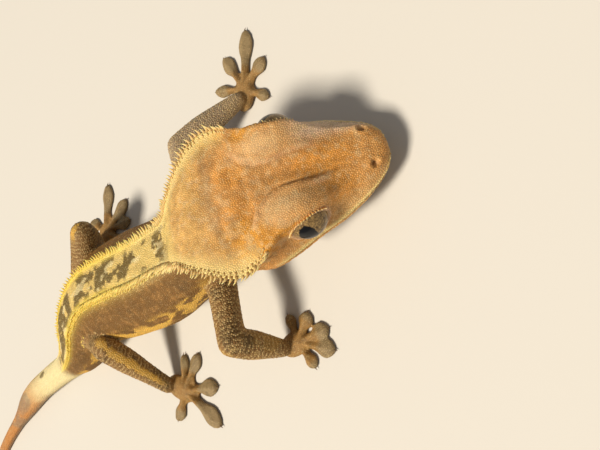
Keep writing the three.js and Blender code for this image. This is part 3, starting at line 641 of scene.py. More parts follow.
# %% Poses and sizes of the limbs
ARM_SIZES = (3.45, 3.0, 2.8, 2.75)
FOREARM_SIZES = (2.75, 2.9, 2.45, 1.85)
THIGH_SIZES = (4.4, 3.9, 3.3, 3.0)
SHIN_SIZES = (3.0, 2.8, 2.25, 1.85)
PAD_THICKNESS = 0.62
TOE_THICKNESS = 0.8
SOLE = 0.05
LOWEST, WEB_THICKNESS = 0.06, 0.62
LIMBS = {
    "right_arm": dict(
        root=(38.9, -5.5, 12.2), joint=(38.0, -21.3, 14.6), ankle=(38.6, -24.2, 3.2),
        upper=ARM_SIZES, lower=FOREARM_SIZES, palm=(41.2, -24.3), palm_size=2.5,
        tips=((40.6, -18.2), (45.6, -19.9), (48.7, -24.6), (48.3, -28.9), (42.4, -30.2)),
        pads=(0.75, 1, 1.05, 1.05, 0.8),
    ),
    "left_arm": dict(
        root=(39.2, 5.2, 12.6), joint=(39.6, 20.4, 11.9), ankle=(50.8, 25.6, 3.0),
        upper=ARM_SIZES, lower=FOREARM_SIZES, palm=(52.2, 28.2), palm_size=2.5,
        tips=((56.8, 22.6), (59.6, 31.0), (58.0, 39.8), (49.8, 38.6), (44.2, 33.4)),
        pads=(0.75, 1, 1.08, 0.95, 0.8),
    ),
    "right_leg": dict(
        root=(-11.6, 1.6, 8.6), joint=(1.0, -7.6, 15.0), ankle=(2.2, -18.6, 3.0),
        upper=THIGH_SIZES, lower=SHIN_SIZES, palm=(5.2, -21.2), palm_size=2.8,
        tips=((7.7, -13.4), (12.6, -15.2), (15.2, -24.0), (12.4, -32.0), (-1.2, -26.4)),
        pads=(0.75, 0.95, 1.1, 1.2, 0.95),
    ),
    "left_leg": dict(
        root=(-10.6, 8.2, 8.8), joint=(2.8, 20.4, 14.2), ankle=(-8.2, 23.4, 3.0),
        upper=THIGH_SIZES, lower=SHIN_SIZES, palm=(-6.4, 26.2), palm_size=2.8,
        tips=((-1.0, 20.4), (3.6, 24.2), (4.6, 29.6), (-0.8, 37.6), (-12.4, 32.4)),
        pads=(0.75, 0.95, 1.1, 1.2, 0.95),
    ),
}
TOE_WIDTH = smooth_line([
    (0, 0.95), (0.32, 0.85), (0.46, 1.0), (0.58, 1.6), (0.72, 1.98), (0.85, 1.6), (0.94, 0.9),
    (1, 0.2),
])


def place_of(point):
    flat = np.array(point, float)
    return flat + (SHIFT if len(flat) == 3 else SHIFT[:2])


def face_outward(tool, verts):
    faces = {face for vert in verts for face in vert.link_faces}
    bmesh.ops.recalc_face_normals(tool, faces=list(faces))


def ball(tool, columns, rings, place):
    """A ball of radius 1 whose vertices go where place(points) puts them."""
    made = bmesh.ops.create_uvsphere(tool, u_segments=columns, v_segments=rings, radius=1)["verts"]
    points = np.array([vert.co[:] for vert in made])
    for vert, target in zip(made, place(points)):
        vert.co = Vector(target * MM)
    face_outward(tool, made)


def limb_frame(start, end):
    """Length of a straight piece of limb, and its directions: along, sideways and upward."""
    length = np.linalg.norm(end - start)
    axis = (end - start) / length
    sideways = np.cross((0, 0, 1), axis)
    sideways /= np.linalg.norm(sideways)
    return length, axis, sideways, np.cross(axis, sideways)


def foot_frame(start, end):
    """Length between two places on the floor, and the directions ahead and sideways."""
    length = np.linalg.norm(end - start)
    ahead = (end - start) / length
    return length, ahead, np.array([-ahead[1], ahead[0]])


def length_of_limb(start, end, sizes):
    """Places for a ball: a length of flesh with round ends, whose radius follows the sizes."""
    start, end = place_of(start), place_of(end)
    length, axis, sideways, upward = limb_frame(start, end)
    size_at = smooth_line([
        (length * k / (len(sizes) - 1), s - COAT_DEPTH) for k, s in enumerate(sizes)
    ])
    first, last = sizes[0] - COAT_DEPTH, sizes[-1] - COAT_DEPTH

    def place(points):
        v = np.arccos(np.clip(points[:, 2], -1, 1)) / np.pi
        at = -first + (length + last + first) * (0.5 - 0.5 * np.cos(np.pi * v))
        radius = size_at(at)
        radius = np.where(at < 0, np.sqrt(np.maximum(0, first**2 - at**2)), radius)
        radius = np.where(at > length, np.sqrt(np.maximum(0, last**2 - (at - length) ** 2)), radius)
        angle = np.arctan2(points[:, 1], points[:, 0])
        out = start + axis * at[:, None]
        out = out + sideways * (radius * np.cos(angle))[:, None]
        out = out + upward * (radius * np.sin(angle))[:, None]
        out[:, 2] = np.maximum(out[:, 2], LOWEST)
        return out

    return place


def toe(palm, tip, pad_scale):
    """Places for a ball: a toe with a narrow bone on a broad flat pad."""
    palm, tip = place_of(palm), place_of(tip)
    length, axis, sideways = foot_frame(palm, tip)

    def place(points):
        v = 0.5 - 0.5 * np.clip(points[:, 2], -1, 1)
        end = np.minimum(1, np.sqrt(np.maximum(0, 1 - v)) * 4) * np.minimum(1, np.sqrt(v) * 4)
        angle = np.arctan2(points[:, 1], points[:, 0])
        side = np.cos(angle)
        width = (TOE_WIDTH(v) * pad_scale - 0.08) * end
        bone = np.exp(-((side * width / 0.62) ** 2)) * ease(1.02, 0.8, v)
        height = TOE_THICKNESS + (PAD_THICKNESS - TOE_THICKNESS) * v
        rise = np.maximum(0, np.sin(angle))
        top = height * end * (0.75 + 1.0 * rise + 0.75 * bone * rise)
        low = height * end * (1 + 1.3 * np.sin(angle))
        out = np.empty_like(points)
        out[:, :2] = palm + axis * (v * length)[:, None] + sideways * (width * side)[:, None]
        out[:, 2] = np.maximum(SOLE, np.where(np.sin(angle) > 0, top, low))
        return out

    return place


def palm_pad(plan):
    """Places for a ball: the low pad from the ankle to the middle of the palm."""
    heel, palm = place_of(plan["ankle"])[:2], place_of(plan["palm"])
    reach, ahead, sideways = foot_frame(heel, palm)

    def place(points):
        out = np.empty_like(points)
        along = points[:, 2] * (reach * 0.5 + plan["palm_size"] * 0.8)
        across = points[:, 0] * (plan["palm_size"] - 0.1)
        out[:, :2] = (palm + heel) / 2 + ahead * along[:, None] + sideways * across[:, None]
        out[:, 2] = np.maximum(SOLE, 1.05 + points[:, 1] * 1.4)
        return out

    return place


def add_web(tool, plan):
    """A low plate between the toes, hollowed between each pair."""
    palm, heel = place_of(plan["palm"]), place_of(plan["ankle"])[:2]
    tips = [place_of(tip) for tip in plan["tips"]]
    corners = [heel]
    for k, tip in enumerate(tips):
        corners.append(palm + (tip - palm) * 0.5)
        if k < len(tips) - 1:
            between = (tip + tips[k + 1]) / 2
            corners.append(palm + (between - palm) * 0.35)
    verts = [tool.verts.new(Vector((c[0], c[1], LOWEST)) * MM) for c in corners]
    face = tool.faces.new(verts)
    raised = bmesh.ops.extrude_face_region(tool, geom=[face])
    moved = [item for item in raised["geom"] if isinstance(item, bmesh.types.BMVert)]
    bmesh.ops.translate(tool, verts=moved, vec=(0, 0, WEB_THICKNESS * MM))
    face_outward(tool, verts + moved)


print("limbs", len(LIMBS), "toes", sum(len(plan["tips"]) for plan in LIMBS.values()))

# %% [markdown]
# ## One solid per limb
# Thigh, shin, palm and toes are separate balls and would show as such where they meet. They are
# fused by a voxel grid finer than a toe's edge and then smoothed, the flesh more than the foot,
# because the pads of a gecko keep a clear rim.

# %% Fusing each limb
LIMB_VOXEL = 0.3
FLESH_ABOVE = 3.4
HALFWAY = {"factor": 0.5, "use_axis_x": True, "use_axis_y": True, "use_axis_z": True}


def applied(piece):
    """The mesh of a piece with its modifiers applied."""
    graph = bpy.context.evaluated_depsgraph_get()
    mesh = bpy.data.meshes.new_from_object(piece.evaluated_get(graph))
    piece.modifiers.clear()
    piece.data = mesh
    return mesh


def limb_axes(plan):
    root, joint, ankle = (place_of(plan[key]) for key in ("root", "joint", "ankle"))
    return root, joint, ankle


def limb_rest(plan, points):
    """Distance along the limb from its root, and the offset from its axis: sideways, up."""
    root, joint, ankle = limb_axes(plan)
    palm = np.append(place_of(plan["palm"]), 1.0)
    best = np.full(len(points), 1e9)
    out = np.zeros((len(points), 3))
    travelled = 0.0
    for a, b in ((root, joint), (joint, ankle), (ankle, palm)):
        length, axis, sideways, upward = limb_frame(a, b)
        arm = points - a
        at = np.clip(arm @ axis, 0, length)
        off = arm - at[:, None] * axis
        distance = np.linalg.norm(off, axis=1)
        closer = distance < best
        best = np.where(closer, distance, best)
        here = np.stack([travelled + arm @ axis, off @ sideways, off @ upward], -1)
        out[closer] = here[closer]
        travelled += length
    return out


limbs = []
for name, plan in LIMBS.items():
    tool = bmesh.new()
    ball(tool, 32, 26, length_of_limb(plan["root"], plan["joint"], plan["upper"]))
    ball(tool, 32, 26, length_of_limb(plan["joint"], plan["ankle"], plan["lower"]))
    ball(tool, 24, 18, palm_pad(plan))
    for tip, pad in zip(plan["tips"], plan["pads"]):
        ball(tool, 20, 34, toe(plan["palm"], tip, pad))
    add_web(tool, plan)
    mesh = bpy.data.meshes.new("limb_" + name)
    tool.to_mesh(mesh)
    tool.free()
    piece = new_object("limb_" + name, mesh)
    fuse = piece.modifiers.new("fuse", "REMESH")
    fuse.mode = "VOXEL"
    fuse.voxel_size = LIMB_VOXEL * MM
    mesh = applied(piece)
    soft = bmesh.new()
    soft.from_mesh(mesh)
    for _ in range(3):
        bmesh.ops.smooth_vert(soft, verts=soft.verts[:], **HALFWAY)
    flesh = [vert for vert in soft.verts if vert.co.z > FLESH_ABOVE * MM]
    for _ in range(8):
        bmesh.ops.smooth_vert(soft, verts=flesh, **HALFWAY)
    for vert in soft.verts:
        vert.co.z = max(vert.co.z, SKIN_FLOOR * MM)
    soft.to_mesh(mesh)
    soft.free()
    limbs.append(piece)
    print(name, "faces", len(mesh.polygons))

# %% [markdown]
# ## One skin
# The limbs are joined to the body with an exact boolean, which leaves a hard crease where they
# meet. Smoothing only the points that lie close to both surfaces turns the crease into the soft
# hollow of a shoulder or a groin.

# %% Joining limbs and body
def tree_of(mesh):
    points = [vert.co.copy() for vert in mesh.vertices]
    return BVHTree.FromPolygons(points, [list(face.vertices) for face in mesh.polygons])


def distances(tree, points):
    out = np.empty(len(points))
    for k, point in enumerate(points):
        out[k] = tree.find_nearest(Vector(point))[3]
    return out / MM


body_tree = tree_of(body.data)
limb_trees = [tree_of(piece.data) for piece in limbs]
source_body = read_points(body.data) / MM
source_rest = read_points(body.data, "rest")
source_share = read_points(body.data, "share", 1)

parts = bpy.data.collections.new("limbs")
bpy.context.scene.collection.children.link(parts)
for piece in limbs:
    parts.objects.link(piece)
join = body.modifiers.new("join", "BOOLEAN")
join.operation = "UNION"
join.solver = "EXACT"
join.operand_type = "COLLECTION"
join.collection = parts
skin_mesh = applied(body)
skin = body
skin.name = "gecko_skin"
print("joined faces", len(skin_mesh.polygons))

# %% [markdown]
# ## Softening the joins
# Only points within 2 mm of both the body and a limb are smoothed. Each moves halfway to the mean
# of its neighbours again and again, so the rest of the sculpted skin stays as it is.

# %% Softening the joins
JOIN_WIDTH = 2.0
JOIN_ROUNDS = 40


def neighbour_mean(points, edges):
    total = np.zeros_like(points)
    for k in range(3):
        total[:, k] = np.bincount(edges[:, 0], points[edges[:, 1], k], len(points))
        total[:, k] += np.bincount(edges[:, 1], points[edges[:, 0], k], len(points))
    count = np.bincount(edges.ravel(), minlength=len(points))
    return total / np.maximum(count, 1)[:, None]


points = read_points(skin_mesh) / MM
limb_points = [read_points(piece.data) / MM for piece in limbs]
near_limb = np.full(len(points), 1e9)
for cloud_points, tree in zip(limb_points, limb_trees):
    low, high = cloud_points.min(0) - JOIN_WIDTH, cloud_points.max(0) + JOIN_WIDTH
    inside = np.all((points > low) & (points < high), axis=1)
    found = distances(tree, points[inside] * MM)
    near_limb[inside] = np.minimum(near_limb[inside], found)
close = near_limb < JOIN_WIDTH
near_body = np.full(len(points), 1e9)
near_body[close] = distances(body_tree, points[close] * MM)
weight = ease(JOIN_WIDTH, 0.5, np.maximum(near_limb, near_body))[:, None]
edges = np.empty(len(skin_mesh.edges) * 2, np.int32)
skin_mesh.edges.foreach_get("vertices", edges)
edges = edges.reshape(-1, 2)
for _ in range(JOIN_ROUNDS):
    points = points + 0.5 * weight * (neighbour_mean(points, edges) - points)
write_points(skin_mesh, points)
print("points softened at the joins:", int((weight > 0).sum()))

# %% [markdown]
# ## Where each point belongs
# The markings, the scales and the wrinkles all need to know where on the animal a point lies, in
# the straight body's own measure. Each point of the joined skin takes it from the nearest point of
# the body or limb that it came from.

# %% Zones of the skin
sources = [source_body] + limb_points
source_points = np.vstack(sources)
source_part = np.repeat(np.arange(len(sources)), [len(source) for source in sources])
along_limbs = [limb_rest(*pair) for pair in zip(LIMBS.values(), limb_points)]
source_rest = np.vstack([source_rest] + along_limbs)
source_share = np.r_[source_share, np.zeros(len(source_points) - len(source_body))]
finder = KDTree(len(source_points))
for k, point in enumerate(source_points):
    finder.insert(Vector(point), k)
finder.balance()
nearest = np.array([finder.find(Vector(point))[1] for point in points])
skin_part = source_part[nearest]
skin_rest = source_rest[nearest]
skin_share = source_share[nearest]
print("skin points", len(points), "of the body", int((skin_part == 0).sum()))

for polygon in skin_mesh.polygons:
    polygon.use_smooth = True
triangles = sum(len(polygon.vertices) - 2 for polygon in skin_mesh.polygons)
print("skin triangles", triangles)
for piece in limbs:
    bpy.data.objects.remove(piece)
bpy.data.collections.remove(parts)

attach(skin, "root")
flesh = [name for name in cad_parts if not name.startswith("eye_")]
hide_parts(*flesh)

# %% [markdown]
# ## Markings
# The pattern is painted from where a point lies on the straight body: the cream band along the
# back with its dark blotches, the bright crest lines, olive flanks with gold low down, an orange
# and tan head, and a cream tail. Some light is painted in as well: a painted highlight on the brow
# folds, painted shade in their creases, along the nape fold, low on the tail's sides and on the left
# arm, and a painted pale reflection on the shaded side of the snout. The same function colours the
# skin and every scale, so the two always agree. Smooth random clouds break each border, as real
# pigment is never even.

# %% Colours of the skin
def linear(code):
    """A colour written as sRGB hex, as linear red, green and blue."""
    value = np.array([int(code[k : k + 2], 16) for k in (0, 2, 4)]) / 255
    return np.where(value <= 0.04045, value / 12.92, ((value + 0.055) / 1.055) ** 2.4)


HEAD_TAN = linear("D89C56")
HEAD_ORANGE = linear("E29C46")
HEAD_GOLD = linear("DA942C")
HEAD_DARK = linear("8A5A26")
HEAD_PALE = linear("DCB884")
# painted pale sky reflection on the shaded left side of the snout
SNOUT_SHADE = linear("E8DCCA")
EYE_RIM = linear("D4AE90")
SNOUT_TAN = linear("DCAE70")
# painted highlight on the ridge of the brow folds
FOLD_HIGHLIGHT_PINK = linear("CCA48A")
NAPE_PALE = linear("D8AC64")
# painted shade in the hollow fold across the nape
NAPE_FOLD_SHADE = linear("8F7A5C")
BACK_CREAM = linear("DDBE72")
BACK_DARK = linear("6E5A2E")
STREAK_CREAM = linear("EED9A0")
CREST_CREAM = linear("F6DC90")
CREST_YELLOW = linear("F6D65C")
FLANK_OLIVE = linear("7E5A2A")
FLANK_PALE = linear("A67A40")
FLANK_GOLD = linear("E0B050")
BELLY_CREAM = linear("D6BE90")
TAIL_CREAM = linear("EFDDA6")
TAIL_ORANGE = linear("C88A4C")
# grey for random blotches on the tail, and for painted shade low on its sides
TAIL_GREY = linear("8A7C68")
LIMB_OLIVE = linear("8A6638")
LIMB_DARK = linear("5E4826")
LIMB_PALE = linear("CFAE74")
LIMB_GOLD = linear("DCAC50")
# painted bluish-grey shade for the left arm, which lies in shade
LEFT_ARM_SHADE_GREY = linear("C2B49C")
HAND_TAN = linear("A47C44")
PAD_GREY = linear("9A845E")


def blend(base, colour, share):
    """The base colours with a share of another colour over them."""
    return base + (colour - base) * np.clip(share, 0, 1)[:, None]


def plain(colour, count):
    """One colour for each of a number of points."""
    return np.tile(colour, (count, 1))


HEAD_PATCHES = [
    # down the snout, edge of the brow over the eye, between brow and nape, beside the snout
    ((22.5, 0.6, 4.2), (5.6, 2.0, 4.0), HEAD_ORANGE, 0.9),
    ((13.6, 8.6, 6.0), (3.8, 1.9, 2.5), HEAD_GOLD, 1.0),
    ((8.3, 3.4, 6.5), (2.8, 2.8, 4.0), HEAD_ORANGE, 0.75),
    ((24.0, 5.0, 2.8), (4.0, 2.4, 3.0), HEAD_ORANGE, 0.75),
]
UNEVEN_PATCHES = [
    # rear of the right brow, rim of the left temple
    ((8.0, -8.2, 5.5), (4.2, 3.4, 3.5), HEAD_GOLD, 1.0),
    ((5.4, 11.6, 4.2), (5.0, 1.6, 2.5), HEAD_GOLD, 0.8),
]
PALE_BROW = ((14.8, 5.6, 6.6), (4.6, 2.3, 3.0))
NAPE_FOLD = [
    (6.2, 12.0, 4.0), (4.9, 7.8, 5.3), (4.3, 3.0, 6.3),
    (4.0, -1.4, 6.6), (4.2, -5.8, 6.2), (5.0, -9.0, 5.4),
]
TAIL_SPOT = ((-94.5, 1.2, 3.2), (2.2, 1.1, 2.5))


def head_colour(rest, share, ragged, fine):
    u = -rest[:, 0]
    edge = share + 0.05 * (ragged - 0.5)
    head = plain(HEAD_TAN, len(u))
    folded = both_sides(rest)
    for centre, reach, colour, strength in HEAD_PATCHES:
        patch = soft_dome(folded, centre, reach) + 0.5 * (ragged - 0.5)
        head = blend(head, colour, strength * ease(0.2, 0.7, patch))
    for centre, reach, colour, strength in UNEVEN_PATCHES:
        patch = soft_dome(rest, centre, reach) + 0.35 * (ragged - 0.5)
        head = blend(head, colour, strength * ease(0.15, 0.5, patch))
    # side of the snout and pale nape; painted shade along the nape fold, a painted highlight on the
    # brow folds and a painted pale reflection on the shaded left side of the snout
    head = blend(head, SNOUT_TAN, 0.7 * ease(0.30, 0.42, edge) * ease(19, 23, -u))
    head = blend(head, NAPE_PALE, 0.8 * ease(-6, -1, u) * ease(0.27, 0.22, share))
    # painted shade: a darker grey line along the fold across the nape
    head = blend(head, NAPE_FOLD_SHADE, 0.4 * soft_ridge(rest, NAPE_FOLD, 0.9))
    # painted light: the highlight on the brow folds and the shade in their creases are stronger on the
    # right side, which faces the light
    lit = np.where(rest[:, 1] < 0, 0.75, 0.35)
    head = blend(head, FOLD_HIGHLIGHT_PINK, lit * soft_ridge(folded, BROW_FOLD, 0.6) * ease(24, 21, -u))
    head = blend(head, SNOUT_SHADE, 0.55 * ease(2.6, 5.4, rest[:, 1]) * ease(18, 23, -u))
    # rim of the eye, and painted shade in the crease inside the fold, stronger on the lit right side
    rim = np.minimum(*(np.linalg.norm(rest - EYE_PLACES[k], axis=1) for k in (-1, 1))) - EYE_RADIUS
    head = blend(head, EYE_RIM, 0.75 * ease(0.75, 0.25, rim))
    crease = bump(distance_to_line(folded, BROW_FOLD), 0.75, 0.35) * inside_folds(folded)
    head = blend(head, HEAD_DARK, 0.75 * lit * crease * ease(24, 20, -u) * ease(9, 12, -u))
    # fine pale and dark specks, pale brow and throat
    head = blend(head, HEAD_PALE, 0.5 * ease(0.52, 0.66, fine))
    head = blend(head, HEAD_DARK, 0.26 * ease(0.54, 0.68, cloud(rest, 1.1, 21)))
    head = blend(head, HEAD_DARK, 0.14 * ease(0.5, 0.62, cloud(rest * (1, 1, 0.7), 2.6, 22)))
    head = blend(head, HEAD_PALE, 0.75 * soft_dome(folded, *PALE_BROW))
    head = blend(head, BELLY_CREAM, 0.8 * ease(0.58, 0.75, edge))
    across_streaks = cloud(rest * (1.0, 0.35, 1), 1.0, 24) - 0.5
    level = 0.75 * across_streaks * ease(-15, -4, u) + 0.4 * (cloud(rest, 0.7, 25) - 0.5)
    head = head * (1 + level)[:, None]
    return blend(head, CREST_CREAM, 0.85 * bump(share, 0.475, 0.02) * ease(8, 10, -u))


def trunk_colour(rest, share, ragged, fine):
    u = -rest[:, 0]
    edge = share + 0.05 * (ragged - 0.5)
    # the back between the crests
    streaks = cloud(rest * (0.45, 1.3, 1), 1.7, 4)
    blotch = ease(0.43, 0.52, cloud(rest * (0.85, 1.0, 1), 2.2, 5))
    back = plain(BACK_CREAM, len(u))
    back = blend(back, BACK_DARK, 0.95 * blotch * ease(4, 12, u) * ease(0.225, 0.19, share))
    back = blend(back, STREAK_CREAM, 0.7 * ease(0.58, 0.68, streaks) * ease(5, 16, u))
    back = blend(back, CREST_YELLOW, 0.75 * ease(0.14, 0.24, edge) * ease(20, 50, u))
    # flank, low flank and belly
    flank = blend(plain(FLANK_OLIVE, len(u)), FLANK_PALE, 0.7 * ease(0.5, 0.75, fine))
    shade = ease(0.5, 0.7, cloud(rest, 5.0, 6)) * ease(0.3, 0.36, share)
    flank = blend(flank, LIMB_DARK, 0.5 * shade)
    gold = ease(0.42, 0.49, cloud(rest * (0.5, 1, 1.4), 2.4, 8))
    flank = blend(flank, FLANK_GOLD, 0.97 * gold * ease(0.39, 0.45, edge) * ease(4, 14, u))
    flank = blend(flank, BELLY_CREAM, ease(0.68, 0.8, edge))
    trunk = np.where((edge < CREST_SHARE)[:, None], back, flank)
    return trunk * (1 + 0.5 * (cloud(rest, 0.8, 25) - 0.5))[:, None]


def tail_colour(rest, share, ragged):
    u = -rest[:, 0]
    tail = blend(plain(TAIL_CREAM, len(u)), TAIL_ORANGE, ease(92, 116, u + 8 * (ragged - 0.5)))
    grey = ease(0.50, 0.66, cloud(rest * (0.6, 1, 1), 4.5, 9)) * ease(92, 110, u)
    tail = blend(tail, TAIL_GREY, 0.6 * grey)
    # painted shade: greyer low on the tail's sides
    tail = blend(tail, TAIL_GREY, 0.55 * ease(0.45, 0.6, share))
    return blend(tail, BACK_DARK, 0.85 * ease(0.4, 0.7, soft_dome(rest, *TAIL_SPOT)))


def body_colour(rest, share):
    u = -rest[:, 0]
    ragged, fine = cloud(rest, 3.0, 1), cloud(rest, 0.9, 2)
    head = head_colour(rest, share, ragged, fine)
    trunk = trunk_colour(rest, share, ragged, fine)
    behind = u + 3 * (ragged - 0.5) + 8 * ease(0.26, 0.4, share) - 4
    colour = blend(head, trunk, ease(-3.5, 3.0, behind))
    # crest lines, from cream on the head to yellow at the hip
    spread = np.where(share < CREST_SHARE, 0.06, 0.03)
    crest = bump(share, CREST_SHARE, spread) * ease(-10, -6, u) * ease(96, 84, u)
    line = blend(plain(CREST_CREAM, len(u)), CREST_YELLOW, ease(10, 45, u))
    colour = blend(colour, line, 0.95 * crest)
    tail = tail_colour(rest, share, ragged)
    return blend(colour, tail, ease(75, 84, u + 2 * (ragged - 0.5)))


STRIPE_TURN = {"right_leg": 0.9, "left_leg": 0.0}


def limb_colour(name, rest, points, plan):
    s = rest[:, 0]
    height = points[:, 2]
    cloudy = cloud(points, 2.6, 10)
    fine = cloud(points, 0.8, 11)
    root, joint, ankle = limb_axes(plan)
    knee = np.linalg.norm(joint - root)
    total = knee + np.linalg.norm(ankle - joint)
    colour = blend(plain(LIMB_OLIVE, len(s)), LIMB_DARK, 0.8 * ease(0.5, 0.66, cloudy))
    turn = np.arctan2(rest[:, 1], rest[:, 2])
    wave = np.sin(2 * np.pi * (s / 0.85 + 0.35 * turn + 1.6 * cloudy))
    colour = blend(colour, LIMB_PALE, 0.62 * ease(-0.1, 0.9, wave) * ease(0.3, 0.6, fine + 0.15))
    if name in STRIPE_TURN:
        ragged = 0.5 * (cloud(points, 1.3, 12) - 0.5)
        stripe = np.exp(-(((turn - STRIPE_TURN[name]) / 0.42 + 2 * ragged) ** 2))
        on_shin = ease(knee - 2, knee + 1, s) * ease(total, total - 4, s)
        colour = blend(colour, LIMB_GOLD, ease(0.3, 0.6, stripe) * on_shin)
    else:
        colour = blend(colour, LIMB_GOLD, 0.25 * ease(0.5, 0.7, cloud(points, 3.2, 12)))
    # painted shade: the left arm is greyed because it lies in shade
    if name == "left_arm":
        colour = blend(colour, LEFT_ARM_SHADE_GREY, np.full(len(s), 0.4))
    hand = ease(4.6, 2.4, height + 1.2 * (cloudy - 0.5))
    colour = blend(colour, HAND_TAN, 0.9 * hand)
    palm = place_of(plan["palm"])
    reach = np.linalg.norm(points[:, :2] - palm, axis=1)
    colour = blend(colour, PAD_GREY, 0.9 * hand * ease(4.2, 5.6, reach))
    return blend(colour, LIMB_DARK, 0.35 * hand * ease(0.52, 0.68, fine))


def marking_and_painted_light(part, rest, share, points):
    """Colour of each point, markings with painted light and shade: part 0 is the body, the limbs
    follow in the order of LIMBS.
    """
    colour = np.zeros((len(part), 3))
    on_body = part == 0
    colour[on_body] = body_colour(rest[on_body], share[on_body])
    for number, (name, plan) in enumerate(LIMBS.items()):
        mine = part == number + 1
        if mine.any():
            limb = limb_colour(name, rest[mine], points[mine], plan)
            colour[mine] = blend(plain(FLANK_OLIVE, len(limb)), limb, ease(1, 6, rest[mine, 0]))
    return colour


def with_alpha(colour):
    return np.concatenate([colour, np.ones((len(colour), 1))], 1)


# painted shade: the skin shows only in the grooves between scales, so its colour is painted darker
SKIN_GROOVE_SHADE = 0.72
skin_colour = marking_and_painted_light(skin_part, skin_rest, skin_share, points)
add_attribute(skin_mesh, "marking_and_painted_light", "FLOAT_COLOR", with_alpha(SKIN_GROOVE_SHADE * skin_colour))
print("mean skin colour", np.round(skin_colour.mean(0), 3))

# %% [markdown]
# ## Scales
# A gecko's hide is covered with granules, each a low dome under half a millimetre wide. They are
# scattered so that none comes closer to another than its own width, then pushed apart a little, as
# bubbles settle. One small dome is modelled and copied to each place as one joined mesh per zone
# of the body, which keeps the coat solid and light. The finest real granules are narrower still and
# are drawn 0.32 to 0.39 mm wide, as fine as the picture shows them.

# %% Places of the scales
skin_mesh.calc_loop_triangles()
tri_verts = np.empty(len(skin_mesh.loop_triangles) * 3, np.int32)
skin_mesh.loop_triangles.foreach_get("vertices", tri_verts)
tri_verts = tri_verts.reshape(-1, 3)
corner = points[tri_verts]
cross = np.cross(corner[:, 1] - corner[:, 0], corner[:, 2] - corner[:, 0])
tri_area = np.linalg.norm(cross, axis=1) / 2
vertex_normals = np.empty(len(points) * 3, np.float32)
skin_mesh.vertices.foreach_get("normal", vertex_normals)
vertex_normals = vertex_normals.reshape(-1, 3).astype(float)

u_of = -skin_rest[:, 0]
on_limb = skin_part > 0
scale_width = 0.32 + 0.07 * ease(0, 15, u_of)
scale_width = np.where(skin_share > 0.66, 0.5, scale_width)
scale_width = scale_width + 0.06 * ease(90, 110, u_of)
scale_width[on_limb] = 0.36 - 0.07 * ease(4.5, 2.0, points[on_limb, 2])

EYE_CENTRES = [from_head(EYE_PLACES[side]) for side in (-1, 1)]
bare = np.zeros(len(points), bool)
for centre in EYE_CENTRES:
    bare |= np.linalg.norm(points - centre, axis=1) < EYE_RADIUS + 0.12
folded = both_sides(skin_rest)
bare |= (~on_limb) & (np.linalg.norm((folded - NOSTRIL) / (0.6, 0.75, 0.6), axis=1) < 1)
bare |= (~on_limb) & (np.linalg.norm((folded - EAR) / (0.7, 1.5, 0.8), axis=1) < 1)
bare |= (~on_limb) & (np.abs(skin_share - 0.5) < 0.006) & (u_of < -MOUTH_CORNER)
bare |= points[:, 2] < 0.12

CANDIDATES = 330000
SPACING = 0.86
width_of_tri = scale_width[tri_verts].mean(1)
open_tri = ~bare[tri_verts].any(1)
weight = tri_area * open_tri / width_of_tri**2
chosen = random.choice(len(tri_verts), CANDIDATES, p=weight / weight.sum())
a, b = random.random(CANDIDATES), random.random(CANDIDATES)
flip = a + b > 1
a[flip], b[flip] = 1 - a[flip], 1 - b[flip]
parts_of_corners = zip(range(3), (1 - a - b, a, b))
tossed = sum(corner[chosen, k] * part[:, None] for k, part in parts_of_corners)
tossed_width = width_of_tri[chosen]


def keep_apart(spots, apart):
    """Index of the spots that keep their distance apart from all kept before them."""
    cell_size = float(apart.max())
    cells = np.floor(spots / cell_size).astype(int)
    kept = {}
    chosen = []
    near = [(i, j, k) for i in (-1, 0, 1) for j in (-1, 0, 1) for k in (-1, 0, 1)]
    near.sort(key=lambda step: abs(step[0]) + abs(step[1]) + abs(step[2]))
    rows = spots.tolist()
    for index, (cell, limit) in enumerate(zip(cells.tolist(), (apart**2).tolist())):
        x, y, z = rows[index]
        i, j, k = cell
        free = True
        for di, dj, dk in near:
            for other in kept.get((i + di, j + dj, k + dk), ()):
                ox, oy, oz = rows[other]
                if (x - ox) ** 2 + (y - oy) ** 2 + (z - oz) ** 2 < limit:
                    free = False
                    break
            if not free:
                break
        if free:
            kept.setdefault((i, j, k), []).append(index)
            chosen.append(index)
    return np.array(chosen)


settled = keep_apart(tossed, SPACING * tossed_width)
roots, root_width = tossed[settled], tossed_width[settled]
skin_tree = tree_of(skin_mesh)


def on_skin(places):
    """The places of the skin that lie nearest to places in mm."""
    return np.array([skin_tree.find_nearest(Vector(place * MM))[0][:] for place in places]) / MM


def settle(roots, width, rounds):
    """Pushes neighbours apart along the skin, as bubbles settle."""
    for _ in range(rounds):
        tree = KDTree(len(roots))
        for k, point in enumerate(roots):
            tree.insert(Vector(point), k)
        tree.balance()
        near = np.array([[item[1] for item in tree.find_n(Vector(point), 7)] for point in roots])
        arm = roots[:, None, :] - roots[near[:, 1:]]
        gap = np.linalg.norm(arm, axis=-1)
        push = np.maximum(0, 1.2 * width[:, None] - gap) / np.maximum(gap, 1e-6)
        roots = on_skin(roots + 0.22 * (arm * push[..., None]).sum(1))
    return roots


roots = settle(roots, root_width, 2)
root_face = np.array([skin_tree.find_nearest(Vector(point * MM))[2] for point in roots])
print("scales", len(roots))

# %% [markdown]
# ## What a scale takes from the skin
# A scale stands upright on the skin and has the colour of its own place. Both come from the corners
# of the face it grows on, the nearer corners counting for more.

